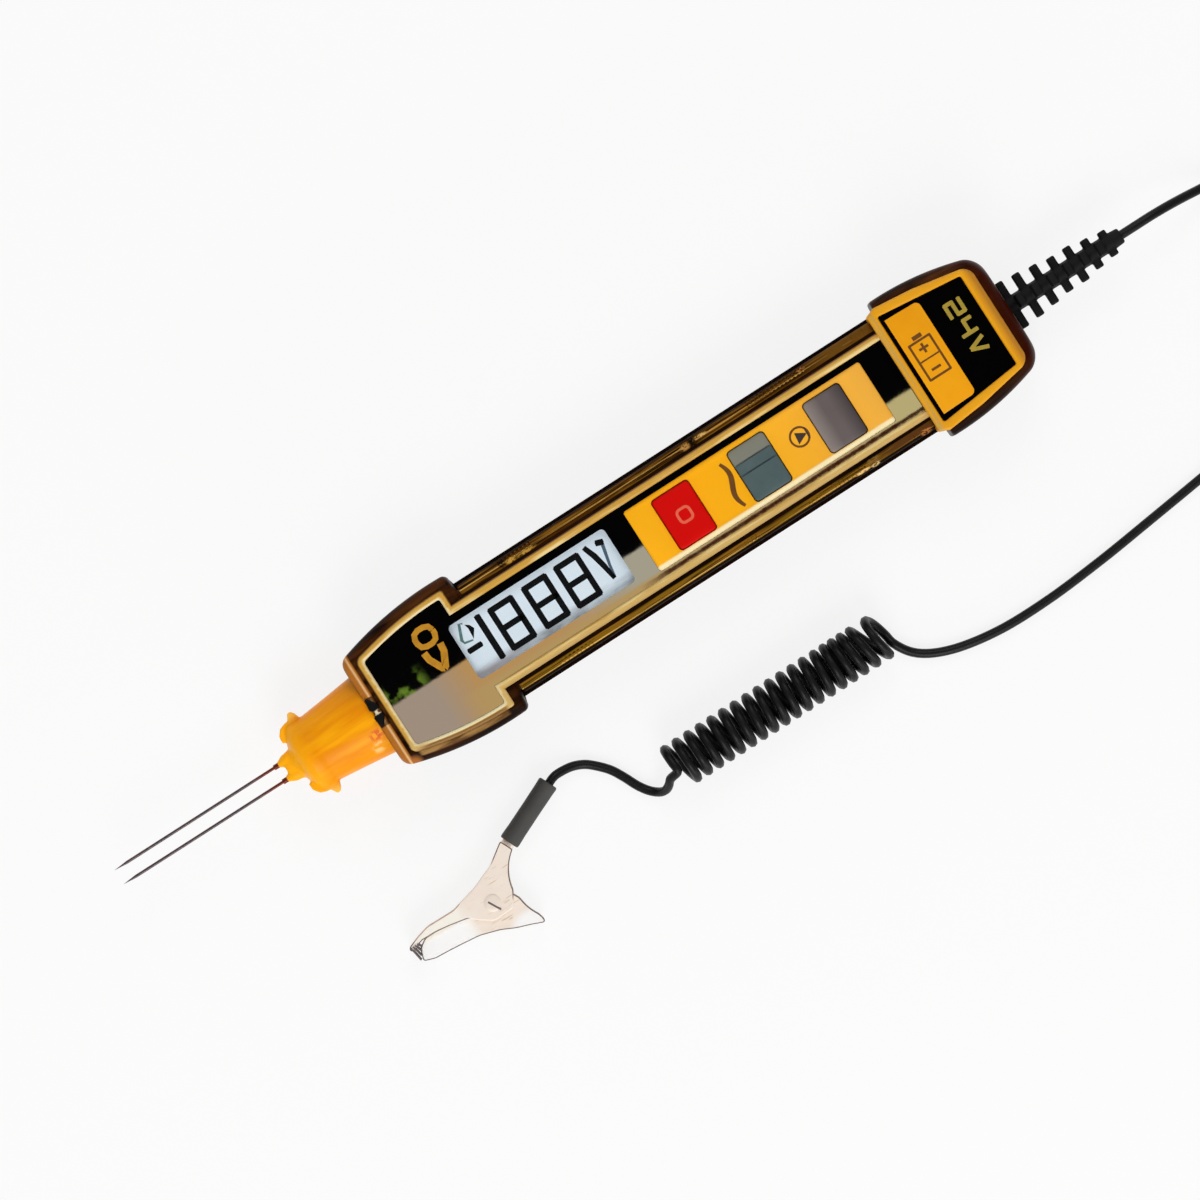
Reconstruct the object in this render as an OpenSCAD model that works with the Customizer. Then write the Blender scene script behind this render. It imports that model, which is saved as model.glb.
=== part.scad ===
// Automotive circuit tester with two needles, a number display, three buttons, and a curly lead to a clip.
// It lies on its back: +X runs from the needles to the lead, +Z is up out of the face. Millimetres.
// The origin is under the middle of the tester, from needle tips to the end of the strain relief.

/* [Overall] */
// Length of the needles in front of the nose
needle_out = 40; // [38:0.5:42]
// Length of the nose in front of the body
nose_out = 23.6; // [23:0.1:24.5]
// Length of the moulded body with its end cap
body_len = 158.7; // [158:0.1:160]
// Length of the ribbed strain relief behind the body
relief_len = 28.4; // [28:0.1:29.5]

/* [Body] */
// Width of the waist between the two bulges
waist_w = 28.1; // [27.8:0.1:28.6]
// Width of the front bulge where it is widest
bulge_w = 33.5; // [33:0.1:34]
// Length of the front bulge
bulge_len = 28.7; // [28.2:0.1:29.2]
// Radius of the front bulge's sides, seen from above
bulge_r = 74; // [70:1:80]
// Width of the end cap where it is widest
cap_w = 33.3; // [33:0.1:34]
// Length of the end cap
cap_len = 24.5; // [24.2:0.1:24.8]
// Radius of the end cap's sides, seen from above
cap_r = 63; // [60:1:70]
// Height of the front bulge
bulge_h = 18.4; // [18.2:0.1:18.6]
// Height of the end cap without its frame
cap_h = 20.2; // [20:0.1:20.6]
// Height at which the two shells part
split_z = 9.5; // [9.3:0.1:9.7]
// Wall of the moulded shells
wall = 1.6; // [1.4:0.1:1.8]

/* [Face] */
// Height of the gloss black face
face_z = 18; // [17.9:0.1:18.1]
// How far the gold frame stands over the face
bezel_rise = 0.8; // [0.5:0.1:1]
// Half width of the face along the waist
face_half = 8.75; // [8.6:0.05:8.9]
// Width of the gold frame along the waist
bezel_w = 1.65; // [1.5:0.05:1.7]
// Length and width of the display window
display = [38.7, 13];
// Length and width of the yellow plate round the buttons
plate = [58.7, 14.7];
// Length and width of each button
button = [8.9, 12];
// Distance from one button to the next
button_pitch = 18.8; // [18.4:0.1:19.2]
// How far a button travels
button_travel = 0.6; // [0.4:0.1:0.6]

/* [Needles] */
// Diameter of a needle
needle_d = 0.66; // [0.6:0.02:0.7]
// Distance between the two needles
needle_pitch = 3.5; // [3.3:0.1:3.7]

/* [Lead] */
// Diameter of the lead
lead_d = 2; // [1.8:0.1:2]
// Outer diameter of the curly part
coil_d = 10.9; // [10.7:0.1:11]

/* [Clip] */
// Thickness of the clip, as it lies on its side
clip_t = 5.6; // [5.4:0.1:5.8]
// Sheet that the clip is folded from
clip_sheet = 0.6; // [0.5:0.05:0.65]
// Outer diameter of the clip's soft sleeve
boot_d = 4.4; // [4.3:0.1:4.6]
// Length of the clip's soft sleeve
boot_len = 15.1; // [14:0.1:16]

/* [Hidden] */
$fn = 48;

// Clearance between pieces that are fitted together
fit = 0.05;
// Overrun of a cut past the face that it opens
cut = 1;

// Stations along X
tip_x = -(needle_out + nose_out + body_len + relief_len) / 2;
root_x = tip_x + needle_out;
body_x = root_x + nose_out;
end_x = body_x + body_len;
relief_x = end_x + relief_len;
step_x = body_x + bulge_len;
cap_x = end_x - cap_len;

// Height of the axis that the nose, needles and strain relief share
axis_z = split_z;

// Roundings of the shells
bottom_r = 3.2;
shoulder_r = 2.6;
front_r = 1.8;
step_r = 1.2;
step_draft = 0.4;
rear_r = 3.5;

// The waist: its back stands a little off the table, and the upper shell leaves room for the grips
waist_rise = 0.8;
waist_top = 17.3;
waist_shoulder_r = 1.15;
grip_t = 1.75;
grip_r = 2.6;
grip_top = 17.8;
ledge = 0.8;
core_half = waist_w / 2 - grip_t;
tongue = 1.2;

// The spigot that the end cap slides over
spigot_half = 12.6;
spigot_low = 1.9;
spigot_top = 17.2;
spigot_end = cap_x + 3;

// The shelf under the face
shelf_z = 16.4;
shelf_t = 1.4;
bezel_z = face_z + bezel_rise;
bezel_end = cap_x - 0.1;

// Front part of the face, which follows the bulge at an inset
bezel_inset = 2.35;
face_inset = 3.9;
bezel_front_r = 1.9;
face_front_r = 1;

// Display, from the photo's frame to the body's
display_c = [body_x + 42.5, 0.4];
plate_c = [body_x + 96.5, 0];
plate_z = face_z + 0.4;
button_z = plate_z + button_travel;
red_x = plate_c[0] - button_pitch;
button_play = 0.2;
flange = 0.45;
flange_t = 0.9;
stem_r = 2;

// Circuit board and switches
board_z = 11.2;
board_t = 1.2;
board_half = 9;
board_top = board_z + board_t;
glass_z = 14.4;
switch_w = 6;
switch_h = 2.2;
plunger_r = 1.5;
plunger_top = 15.2;
plunger_h = 1.8;

// Screws: two in the front bulge and one in the waist
screw_r = 0.8;
screw_head_r = 1.9;
screw_head_h = 1.5;
screw_top = 13;
boss_r = 2.4;

// Posts that carry the circuit board
post_x = [body_x + 38, body_x + 84];
post_y = 7;
post_r = 1.4;
screws = [[body_x + 16, 11.8, 0], [body_x + 16, -11.8, 0], [body_x + 128.5, 0, waist_rise]];

// End cap: frame, inlay, label and battery door
cap_frame_z = 20.8;
cap_floor_z = 18.75;
cap_top_wall = 1.4;
cap_frame_front = cap_x - 2.05;
cap_frame_rear = end_x - 2.6;
cap_inlay_z = 20.2;
label_t = 0.4;
door = [13.6, 24.8];
door_c = cap_x + 11.6;
door_t = 1.4;
cell_r = 5.8;
cell_h = 5.4;
cell_y = 6.1;

// Nose: half width and half height at each distance behind the needle roots
nose_profile = [
    [2.1, 2.5, 1.8], [4.1, 2.6, 1.9], [4.5, 5.2, 4.6], [5.1, 7.2, 6.4], [6.1, 8.4, 7.5], [7.6, 8.85, 7.9],
    [10, 8.85, 7.9], [10.2, 8, 7], [nose_out, 9.25, 7.9]
];
spigot_nose = [7.6, 4.9];
collar_nose = [9.2, 5.4];
socket_r = 1.15;
needle_point = 3.2;
shank_r = needle_d / 2 + 0.25;
lug_half = 9.9;

// Strain relief: pitch and length of its lugs, from the body outwards
relief_r = 1.9;
lug_pitch = 4;
lug_t = 1.9;
lug_reach = [5.6, 5.25, 4.75, 4.2, 4.2, 3.5, 3];

// Curly lead
coil_x = [-13.6, 37.4];
coil_y = -43.8;
coil_z = coil_d / 2;
lead_r = lead_d / 2;

// The clip's pivot, the direction of its arm, and its lowest point over the table
pivot = [-62.1, -47.1];
arm_angle = 23.8;
clip_z = 0.5;
clip_mid = clip_z + clip_t / 2;
lever_gap = 0.15;
boot_start = [-52.3, -38.2];
boot_bore = 1.5;
pivot_r = 1.2;

// Route of the lead from the strain relief to the coil: out, down to the table, round and back
route_out = [
    [relief_x, 0, axis_z], [129, 0, 9.5], [133, 0, 9], [138, -0.2, 7.2], [143, -0.6, 4.6], [148, -1.2, 2.2],
    [153, -2.6, 1.1], [159, -6.5, 1], [163, -13, 1], [164.5, -21, 1], [162.5, -30, 1], [157, -38, 1],
    [149, -44, 1], [139, -48, 1], [127, -50.5, 1], [113, -52.3, 1], [99, -54, 1], [85, -55.6, 1],
    [71, -56.6, 1], [59, -56.4, 1], [49, -54.6, 1], [43.4, -52.2, 1], [40.4, -49.6, 1.1], [38.8, -47.4, 1.4],
    [coil_x[1] + 0.6, -46.4, 1.6], [coil_x[1], -46.4, 1.6]
];

// Route of the lead from the coil to the clip's sleeve: off the last turn, down to the table and across
route_in = [
    [coil_x[0], -42.8, 9.6], [coil_x[0] - 1, -42.8, 9.6], [-15.5, -43.9, 8.9], [-16.2, -45.1, 7.7],
    [-17.3, -46.2, 5.8], [-18.7, -46.8, 3.4], [-20.2, -46.2, 1.7], [-21.6, -44.9, 1.1], [-23, -42.8, 1],
    [-24.4, -39.8, 1], [-25.9, -37.1, 1], [-27.8, -34.9, 1], [-30, -33, 1.1], [-32.4, -31.95, 1.5],
    [-34.7, -31.6, 2.2], [-36.8, -31.65, 2.85], [-38.95, -32.5, 3.1], [-41, -33.4, 3.2],
    [-43.3, -34.45, 3.2]
];

// Half width of the front bulge and of the end cap at a distance along X
function bulge_half(x) = bulge_w / 2 - pow(x - (step_x - 4.5), 2) / (2 * bulge_r);
function cap_half(x) = cap_w / 2 - pow(x - (cap_x + 2), 2) / (2 * cap_r);

// Points of an arc about c, from one angle to another
function arc(c, r, from, to, n) =
    [for (i = [0:n]) let (a = from + (to - from) * i / n) [c[0] + r * cos(a), c[1] + r * sin(a)]];

// A half outline (y > 0) and its mirror image, as one closed outline
function both_sides(half) =
    concat(half, [for (i = [len(half) - 1:-1:0]) [half[i][0], -half[i][1]]]);

// A rectangle with round corners, centred on c
function round_box(c, size, r, n = 5) = let (h = [size[0] / 2 - r, size[1] / 2 - r]) concat(
    arc([c[0] + h[0], c[1] + h[1]], r, 0, 90, n), arc([c[0] - h[0], c[1] + h[1]], r, 90, 180, n),
    arc([c[0] - h[0], c[1] - h[1]], r, 180, 270, n), arc([c[0] + h[0], c[1] - h[1]], r, 270, 360, n));

// Half of a cross-section in Y and Z: from the parting edge up or down to the far face, with a round corner
function half_ring(half, base, far, r, n = 4) =
    let (s = far > base ? 1 : -1, side = concat([[half, base]],
        [for (i = [0:n]) let (a = 90 * i / n) [half - r + r * cos(a), far - s * r + s * r * sin(a)]]))
    s > 0 ? concat(side, [for (i = [len(side) - 1:-1:0]) [-side[i][0], side[i][1]]])
        : concat([for (i = [0:len(side) - 1]) [-side[i][0], side[i][1]]],
            [for (i = [len(side) - 1:-1:0]) side[i]]);

// A whole cross-section with four round corners
function whole_ring(half, low, high, r_low, r_high, n = 4) = concat(
    arc([half - r_high, high - r_high], r_high, 0, 90, n),
    arc([r_high - half, high - r_high], r_high, 90, 180, n),
    arc([r_low - half, low + r_low], r_low, 180, 270, n),
    arc([half - r_low, low + r_low], r_low, 270, 360, n));

// An oval cross-section about the nose's axis
function oval_ring(half, high, n = 28) =
    [for (i = [0:n - 1]) let (a = 360 * i / n) [half * cos(a), axis_z + high * sin(a)]];

// A solid through cross-sections that all have as many points: sections is a list of [x, ring]
module loft(sections) {
    n = len(sections[0][1]);
    m = len(sections);
    polyhedron(
        points = [for (s = sections) for (p = s[1]) [s[0], p[0], p[1]]],
        faces = concat(
            [[for (j = [0:n - 1]) j]],
            [for (i = [0:m - 2]) for (j = [0:n - 1]) let (a = i * n + j, b = i * n + (j + 1) % n)
                each [[a, a + n, b + n], [a, b + n, b]]],
            [[for (j = [n - 1:-1:0]) (m - 1) * n + j]]));
}

// A round tube swept along a route, with rings square to it
module sweep(route, r, sides) {
    m = len(route);
    dirs = [for (i = [0:m - 1]) let (d = route[min(i + 1, m - 1)] - route[max(i - 1, 0)]) d / norm(d)];
    across = [for (d = dirs) let (c = cross([0, 0, 1], d)) c / norm(c)];
    polyhedron(
        points = [for (i = [0:m - 1]) for (j = [0:sides - 1]) let (a = 360 * j / sides)
            route[i] + r * cos(a) * across[i] + r * sin(a) * cross(dirs[i], across[i])],
        faces = concat(
            [[for (j = [0:sides - 1]) j]],
            [for (i = [0:m - 2]) for (j = [0:sides - 1])
                let (a = i * sides + j, b = i * sides + (j + 1) % sides)
                each [[a, a + sides, b + sides], [a, b + sides, b]]],
            [[for (j = [sides - 1:-1:0]) (m - 1) * sides + j]]));
}

// A flat plate: an outline between two heights
module slab(outline, low, high) {
    translate([0, 0, low]) linear_extrude(high - low) polygon(outline);
}

// A round bar along X about a point in Y and Z
module bar(from_x, to_x, y, z, r) {
    translate([from_x, y, z]) rotate([0, 90, 0]) cylinder(h = to_x - from_x, r = r);
}

// Distance along X and width lost to the rounding of a bulge's front or rear edge, as a share of its radius
edge_steps = [for (a = [0:22.5:90]) [1 - cos(a), 1 - sin(a)]];
bulge_stations = [for (i = [0:6]) body_x + front_r + (bulge_len - front_r - step_r) * i / 6];

// Sections of the body's outside: the lower shell for dir = -1, the upper one for dir = 1
function body_sections(dir) = concat(
    [for (e = edge_steps) bulge_section(body_x + front_r * e[0], front_r * e[1], dir)],
    [for (i = [1:6]) bulge_section(bulge_stations[i], 0, dir)],
    [for (a = [30:30:90]) bulge_section(step_x - step_r + step_r * sin(a), step_r * (1 - cos(a)), dir)],
    dir > 0
        ? [for (s = [[step_draft, 0], [step_draft + 0.2, tongue]])
            [step_x + s[0], half_ring(core_half, split_z - s[1], waist_top, waist_shoulder_r)]]
        : [[step_x + step_draft, half_ring(waist_w / 2, split_z, waist_rise, bottom_r)]],
    dir > 0
        ? [for (s = [[cap_x - 2.4, tongue], [cap_x - 2.2, 0], [cap_x - 0.4, 0]])
            [s[0], half_ring(core_half, split_z - s[1], waist_top, waist_shoulder_r)]]
        : [[cap_x - 0.4, half_ring(waist_w / 2, split_z, waist_rise, bottom_r)]],
    [for (x = [cap_x - 0.1, spigot_end])
        [x, half_ring(spigot_half - (dir > 0 ? 0.6 : 0), split_z, dir > 0 ? spigot_top : spigot_low, 1)]]);

function bulge_section(x, inset, dir) = [x, half_ring(bulge_half(x) - inset, split_z,
    dir > 0 ? bulge_h - inset : inset, dir > 0 ? shoulder_r : bottom_r)];

// Sections of the room inside the shells
function cavity_sections(dir) =
    let (low = split_z - dir * (tongue + cut), far = dir > 0 ? shelf_z - shelf_t : wall,
        waist_far = dir > 0 ? far : waist_rise + wall)
    concat(
        [for (i = [0:5]) let (x = max(bulge_stations[i] - 1, body_x + wall))
            [x, half_ring(bulge_half(x) - wall, low, far, 1)]],
        [[step_x - wall - 0.6, half_ring(bulge_half(step_x) - wall - step_r, low, far, 1)]],
        [for (x = [step_x - wall - 0.2, cap_x - 2])
            [x, half_ring((dir > 0 ? core_half : waist_w / 2) - wall, low, waist_far, 1)]],
        [for (x = [cap_x - 1.6, spigot_end + cut])
            [x, half_ring(spigot_half - 0.6 - wall, low, dir > 0 ? far : spigot_low + wall, 1)]]);

// Outline of the face at an inset from the bulge, with the waist's half width given: y > 0 only
function face_half_outline(inset, half, corner_r, rear_x) =
    let (front = body_x + 0.6 + inset, shoulder = step_x + 0.1 - inset,
        corner = [front + corner_r, bulge_half(front + corner_r) - inset - corner_r],
        top = [shoulder - 0.6, bulge_half(shoulder) - inset - 0.6])
    concat(
        arc(corner, corner_r, 180, 96, 5),
        [for (i = [1:5]) let (x = corner[0] + (top[0] - corner[0]) * i / 6) [x, bulge_half(x) - inset]],
        arc(top, 0.6, 90, 0, 3),
        [[shoulder, half], [rear_x, half]]);

// Places where a screw, its head and its bosses go
module at_screws() {
    for (s = screws) translate([s[0], s[1], s[2]]) children();
}

module lower_shell() {
    color([0.17, 0.05, 0.05])
    difference() {
        union() {
            difference() {
                loft(body_sections(-1));
                loft(cavity_sections(-1));
            }
            for (s = screws) translate([s[0], s[1], s[2] + wall / 2])
                cylinder(h = split_z - s[2] - wall / 2, r = boss_r);
            for (x = post_x) for (y = [-post_y, post_y]) translate([x, y, waist_rise + wall / 2])
                cylinder(h = board_z - fit - waist_rise - wall / 2, r = post_r);
        }
        at_screws() {
            translate([0, 0, -cut]) cylinder(h = split_z + 2 * cut, r = screw_r + 0.3);
            translate([0, 0, -cut]) cylinder(h = cut + 2, r = screw_head_r + 0.2);
        }
        loft([for (x = [body_x - cut, body_x + 2 * wall])
            [x, oval_ring(spigot_nose[0] + fit, spigot_nose[1] + fit)]]);
    }
}

module upper_shell() {
    color([0.17, 0.05, 0.05])
    difference() {
        union() {
            difference() {
                loft(body_sections(1));
                loft(cavity_sections(1));
            }
            for (s = screws) translate([s[0], s[1], split_z])
                cylinder(h = shelf_z - shelf_t / 2 - split_z, r = boss_r);
        }
        for (s = screws) translate([s[0], s[1], split_z - cut])
            cylinder(h = screw_top + 0.5 - split_z + cut, r = screw_r + fit);
        slab(both_sides(face_half_outline(bezel_inset - fit, face_half + bezel_w + fit,
            bezel_front_r, end_x)), shelf_z, bulge_h + cut);
        translate([display_c[0] - display[0] / 2 - 2.6, -7.9, shelf_z - shelf_t - cut])
            cube([display[0] + 5.2, 15.8, shelf_t + 2 * cut]);
        translate([plate_c[0] - plate[0] / 2 + 1.1, -6.6, shelf_z - shelf_t - cut])
            cube([plate[0] - 2.2, 13.2, shelf_t + 2 * cut]);
        translate([body_x - cut, -3.5, shelf_z + 0.8]) cube([cut + 2.35, 7, 3]);
        loft([for (x = [body_x - cut, body_x + 2 * wall])
            [x, oval_ring(spigot_nose[0] + fit, spigot_nose[1] + fit)]]);
    }
}

// Section of a grip in Y and Z: a round shoulder outside, the upper shell's shape inside. The lower shell's
// edge shows as a ledge under it.
grip_c = [waist_w / 2 - ledge - grip_r, grip_top - grip_r];
grip_section = concat(
    [[waist_w / 2 - ledge, split_z + fit]],
    arc(grip_c, grip_r, 0, 80, 8),
    arc([core_half - waist_shoulder_r, waist_top - waist_shoulder_r], waist_shoulder_r + 0.07, 90, 0, 5),
    [[core_half + 0.07, split_z + fit]]);

// Groups of cross ribs on a grip: how far each group is from the front bulge, and how many ribs it has
grip_ribs = [[11, 8], [57, 3], [73, 14], [99, 3]];
rib_pitch = 1;
rib_out = (grip_r + 0.3) * sin(45);

module side_grip_left() {
    color([0.5, 0.36, 0.15])
    difference() {
        translate([step_x + step_draft + 0.3, 0, 0]) rotate([90, 0, 90])
            linear_extrude(cap_frame_front - fit - (step_x + step_draft + 0.3)) polygon(grip_section);
        for (g = grip_ribs) for (i = [0:g[1] - 1])
            translate([step_x + g[0] + i * rib_pitch, grip_c[0] + rib_out, grip_c[1] + rib_out])
                rotate([45, 0, 0]) cube([rib_pitch / 2, 1.1, 3], center = true);
    }
}

module side_grip_right() { mirror([0, 1, 0]) side_grip_left(); }

module face_bezel() {
    color([0.86, 0.7, 0.35])
    difference() {
        slab(both_sides(face_half_outline(bezel_inset, face_half + bezel_w, bezel_front_r, bezel_end)),
            shelf_z + fit, bezel_z);
        slab(both_sides(face_half_outline(face_inset, face_half, face_front_r, bezel_end + cut)),
            shelf_z - cut, bezel_z + cut);
    }
}

module face_panel() {
    color([0.02, 0.02, 0.02])
    difference() {
        slab(both_sides(face_half_outline(face_inset + fit, face_half - fit, face_front_r, bezel_end)),
            shelf_z + fit, face_z);
        slab(round_box(display_c, display + [0.1, 0.1], 1), shelf_z - cut, face_z + cut);
        slab(round_box(plate_c, plate + [0.1, 0.1], 0.5), shelf_z - cut, face_z + cut);
    }
}

module display_window() {
    color([0.8, 0.88, 0.92, 0.4]) slab(round_box(display_c, display, 1), shelf_z + fit, face_z - 0.05);
}

module button_plate() {
    color([0.97, 0.7, 0.23])
    difference() {
        slab(round_box(plate_c, plate, 0.5), shelf_z + fit, plate_z);
        for (i = [0:2]) slab(round_box([red_x + i * button_pitch, 0],
            button + 2 * [button_play, button_play], 0.8), shelf_z - cut, plate_z + cut);
    }
}

// A push button: its cap, the flange that keeps it in, and the stem that meets the switch
module push_button(i) {
    c = [red_x + i * button_pitch, 0];
    slab(round_box(c, button, 0.8), shelf_z - fit, button_z);
    slab(round_box(c, button + 2 * [flange, flange - 0.05], 0.8), shelf_z - fit - flange_t, shelf_z - fit);
    translate([c[0], 0, plunger_top]) cylinder(h = shelf_z - fit - plunger_top, r = stem_r);
}

module button_red() { color([0.8, 0.06, 0.05]) push_button(0); }
module button_teal() { color([0.27, 0.36, 0.38]) push_button(1); }
module button_grey() { color([0.44, 0.4, 0.44]) push_button(2); }

module end_cap() {
    color([0.17, 0.05, 0.05])
    difference() {
        loft(concat(
            [for (a = [0, 45]) cap_section(cap_x + 0.6 * (1 - cos(a)), 0.6 * (1 - sin(a)))],
            [for (i = [0:6]) cap_section(cap_x + 0.6 + (cap_len - 0.6 - rear_r) * i / 6, 0)],
            [for (a = [22.5:22.5:90]) cap_section(end_x - rear_r + rear_r * sin(a), rear_r * (1 - cos(a)))]));
        loft([for (i = [0:6]) let (x = cap_x - cut + (cap_len + cut - wall) * i / 6)
            [x, whole_ring(cap_half(x) - wall - 0.25 * pow(max(i - 4, 0), 2), wall,
                cap_floor_z - cap_top_wall, 1.6, 1.6)]]);
        slab(cap_frame_outline(fit), cap_floor_z, cap_h + cut);
        slab(round_box([door_c, 0], door + [0.2, 0.2], 1), -cut, wall + cut);
        bar(end_x - 2 * wall, end_x + cut, 0, axis_z, relief_r + 0.35);
    }
}

function cap_section(x, inset) =
    [x, whole_ring(cap_half(x) - inset, inset, cap_h - inset, bottom_r, 3.4)];

// Outline of the cap's gold frame, and of the inlay inside it
function cap_frame_outline(grow) = both_sides(concat(
    [[cap_frame_front - grow, waist_w / 2 + 0.2 + grow], [cap_x + 0.1, cap_half(cap_x) - 1.55 + grow],
        [cap_x + 9, cap_half(cap_x + 9) - 2.1 + grow]],
    arc([cap_frame_rear - 3, cap_half(cap_frame_rear - 3) - 5.1], 3 + grow, 78, 10, 5)));

cap_inlay_outline = both_sides([[cap_x - 0.15, 13.05], [cap_x + 19.2, 10.95]]);

module cap_bezel() {
    color([0.86, 0.7, 0.35]) {
        difference() {
            union() {
                slab(cap_frame_outline(0), cap_floor_z + fit, cap_frame_z);
                for (y = [core_half + 0.1, -waist_w / 2 - 0.2]) translate([cap_frame_front, y, split_z + fit])
                    cube([1.5, waist_w / 2 + 0.1 - core_half, cap_frame_z - split_z - 0.6]);
            }
            slab(cap_inlay_outline, 0, cap_frame_z + cut);
            translate([cap_frame_front - cut, -core_half - 0.1, 0])
                cube([3.6 + cut, 2 * core_half + 0.2, bezel_z + 0.05]);
        }
    }
}

module cap_panel() {
    color([0.02, 0.02, 0.02])
    slab(both_sides([[cap_x + 0.1, 12.95], [cap_x + 19.1, 10.9]]), cap_floor_z + fit, cap_inlay_z);
}

module label_plate() {
    color([0.92, 0.62, 0.14])
    slab(both_sides(concat([[cap_x + 0.75, 11.6]], arc([cap_x + 7.7, 10.2], 1.2, 84, 0, 4))),
        cap_inlay_z, cap_inlay_z + label_t);
}

module battery_door() {
    color([0.17, 0.05, 0.05])
    difference() {
        slab(round_box([door_c, 0], door, 1), 0, door_t);
        for (i = [-1:1]) translate([door_c + 4.2 + i * 1.2, 0, 0]) cube([0.5, 8, 0.6], center = true);
    }
}

module case_screws() {
    color([0.6, 0.6, 0.62])
    at_screws() difference() {
        union() {
            translate([0, 0, 0.4]) cylinder(h = screw_head_h, r = screw_head_r);
            translate([0, 0, 0.4]) cylinder(h = screw_top - 1.4, r = screw_r);
        }
        for (a = [0, 90]) rotate(a) cube([2.4, 0.45, 1.9], center = true);
    }
}

module nose() {
    color([0.95, 0.6, 0.1, 0.8])
    difference() {
        union() {
            loft([for (s = nose_profile) [root_x + s[0], oval_ring(s[1], s[2])]]);
            loft([for (x = [body_x - fit, body_x + wall + 2 * fit])
                [x, oval_ring(spigot_nose[0], spigot_nose[1])]]);
            loft([for (x = [body_x + wall + 2 * fit, body_x + wall + 1.5])
                [x, oval_ring(collar_nose[0], collar_nose[1])]]);
            for (s = [-1, 1]) {
                translate([root_x + 9.2, s * (lug_half - 1), axis_z]) cube([1.8, 2, 4], center = true);
                translate([root_x, s * needle_pitch / 2, axis_z]) rotate([0, 90, 0])
                    cylinder(h = 2.4, r1 = shank_r + 0.4, r2 = shank_r + 0.8);
            }
        }
        loft([[root_x + 11.2, oval_ring(6, 5.4)], [body_x - 1, oval_ring(6.6, 5.9)]]);
        loft([for (x = [body_x - 2, body_x + wall + 3]) [x, oval_ring(6.2, 3.7)]]);
        for (s = [-1, 1]) {
            bar(root_x + 2.7, root_x + 13, s * needle_pitch / 2, axis_z, socket_r + fit);
            bar(root_x - cut, root_x + 3, s * needle_pitch / 2, axis_z, shank_r + fit);
        }
    }
}

module nose_latch() {
    color([0.05, 0.05, 0.05])
    translate([body_x - 0.1, -3.4, shelf_z + 1.1]) cube([2.3, 6.8, 1.1]);
}

module needle(side) {
    color([0.35, 0.34, 0.36])
    translate([tip_x, side * needle_pitch / 2, axis_z]) rotate([0, 90, 0])
        rotate_extrude() polygon([[0, 0], [needle_d / 2, needle_point], [needle_d / 2, needle_out],
            [shank_r, needle_out], [shank_r, body_x + 3.8 - tip_x], [0, body_x + 3.8 - tip_x]]);
}

module needle_left() { needle(1); }
module needle_right() { needle(-1); }

module needle_sockets() {
    color([0.8, 0.65, 0.3])
    for (s = [-1, 1]) difference() {
        bar(root_x + 2.8, body_x + 4.6, s * needle_pitch / 2, axis_z, socket_r);
        bar(root_x, body_x + 3.9, s * needle_pitch / 2, axis_z, shank_r + fit);
    }
}

module needle_wires() {
    color([0.7, 0.1, 0.1])
    for (s = [-1, 1]) translate([body_x + 4.8, s * needle_pitch / 2, axis_z]) rotate([0, 60, 0])
        cylinder(h = 2.6, r = 0.4);
}

module nose_lamp() {
    color([0.95, 0.95, 0.9]) {
        translate([body_x - 10.5, 0, axis_z + 2.8]) {
            sphere(r = 1.5);
            rotate([0, 90, 0]) cylinder(h = 4.6, r = 1.5);
        }
        for (s = [-1, 1]) translate([body_x - 6, s * 1.27 - 0.25, board_top + fit]) cube([14, 0.5, 0.4]);
    }
}

module circuit_board() {
    color([0.1, 0.35, 0.15])
    difference() {
        translate([body_x + 5.3, -board_half, board_z]) cube([cap_x - body_x - 1, 2 * board_half, board_t]);
        translate([screws[2][0], 0, board_z - cut]) cylinder(h = board_t + 2 * cut, r = boss_r + 0.4);
    }
}

module display_glass() {
    color([0.75, 0.85, 0.85])
    translate([display_c[0] - 21, display_c[1] - 7.3, glass_z]) cube([42, 14.6, shelf_z - 0.1 - glass_z]);
}

module display_backlight() {
    color([0.95, 0.97, 1])
    translate([display_c[0] - 20.2, display_c[1] - 5.8, board_top]) cube([40.4, 11.6, 1.9]);
}

module display_contacts() {
    color([0.2, 0.2, 0.22])
    for (s = [-1, 1]) translate([display_c[0] - 19.5, display_c[1] + s * 6.5 - 0.45, board_top])
        cube([39, 0.9, glass_z - board_top]);
}

module switch_housings() {
    color([0.1, 0.1, 0.1])
    for (i = [0:2]) translate([red_x + i * button_pitch, 0, board_top]) difference() {
        translate([-switch_w / 2, -switch_w / 2, 0]) cube([switch_w, switch_w, switch_h]);
        translate([0, 0, 0.3]) cylinder(h = switch_h, r = plunger_r + 0.1);
    }
}

module plunger(i) {
    color([0.85, 0.85, 0.8])
    translate([red_x + i * button_pitch, 0, plunger_top - plunger_h]) cylinder(h = plunger_h, r = plunger_r);
}

module plunger_red() { plunger(0); }
module plunger_teal() { plunger(1); }
module plunger_grey() { plunger(2); }

module main_chip() {
    color([0.08, 0.08, 0.08]) translate([body_x + 70, -5, board_z - 1.7]) cube([10, 10, 1.7]);
}

module buzzer() {
    color([0.1, 0.1, 0.1])
    difference() {
        translate([body_x + 52, 0, board_z - 4.4]) cylinder(h = 4.4, r = 4.8);
        translate([body_x + 52, 0, board_z - 4.4 - cut]) cylinder(h = cut + 1, r = 1);
    }
}

module input_fuse() {
    color([0.85, 0.85, 0.8]) bar(body_x + 14, body_x + 24, 0, board_z - 1.5, 1.5);
}

module crystal() {
    color([0.75, 0.75, 0.78]) translate([body_x + 96, -2.2, board_z - 2]) cube([8, 4.4, 2]);
}

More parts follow.
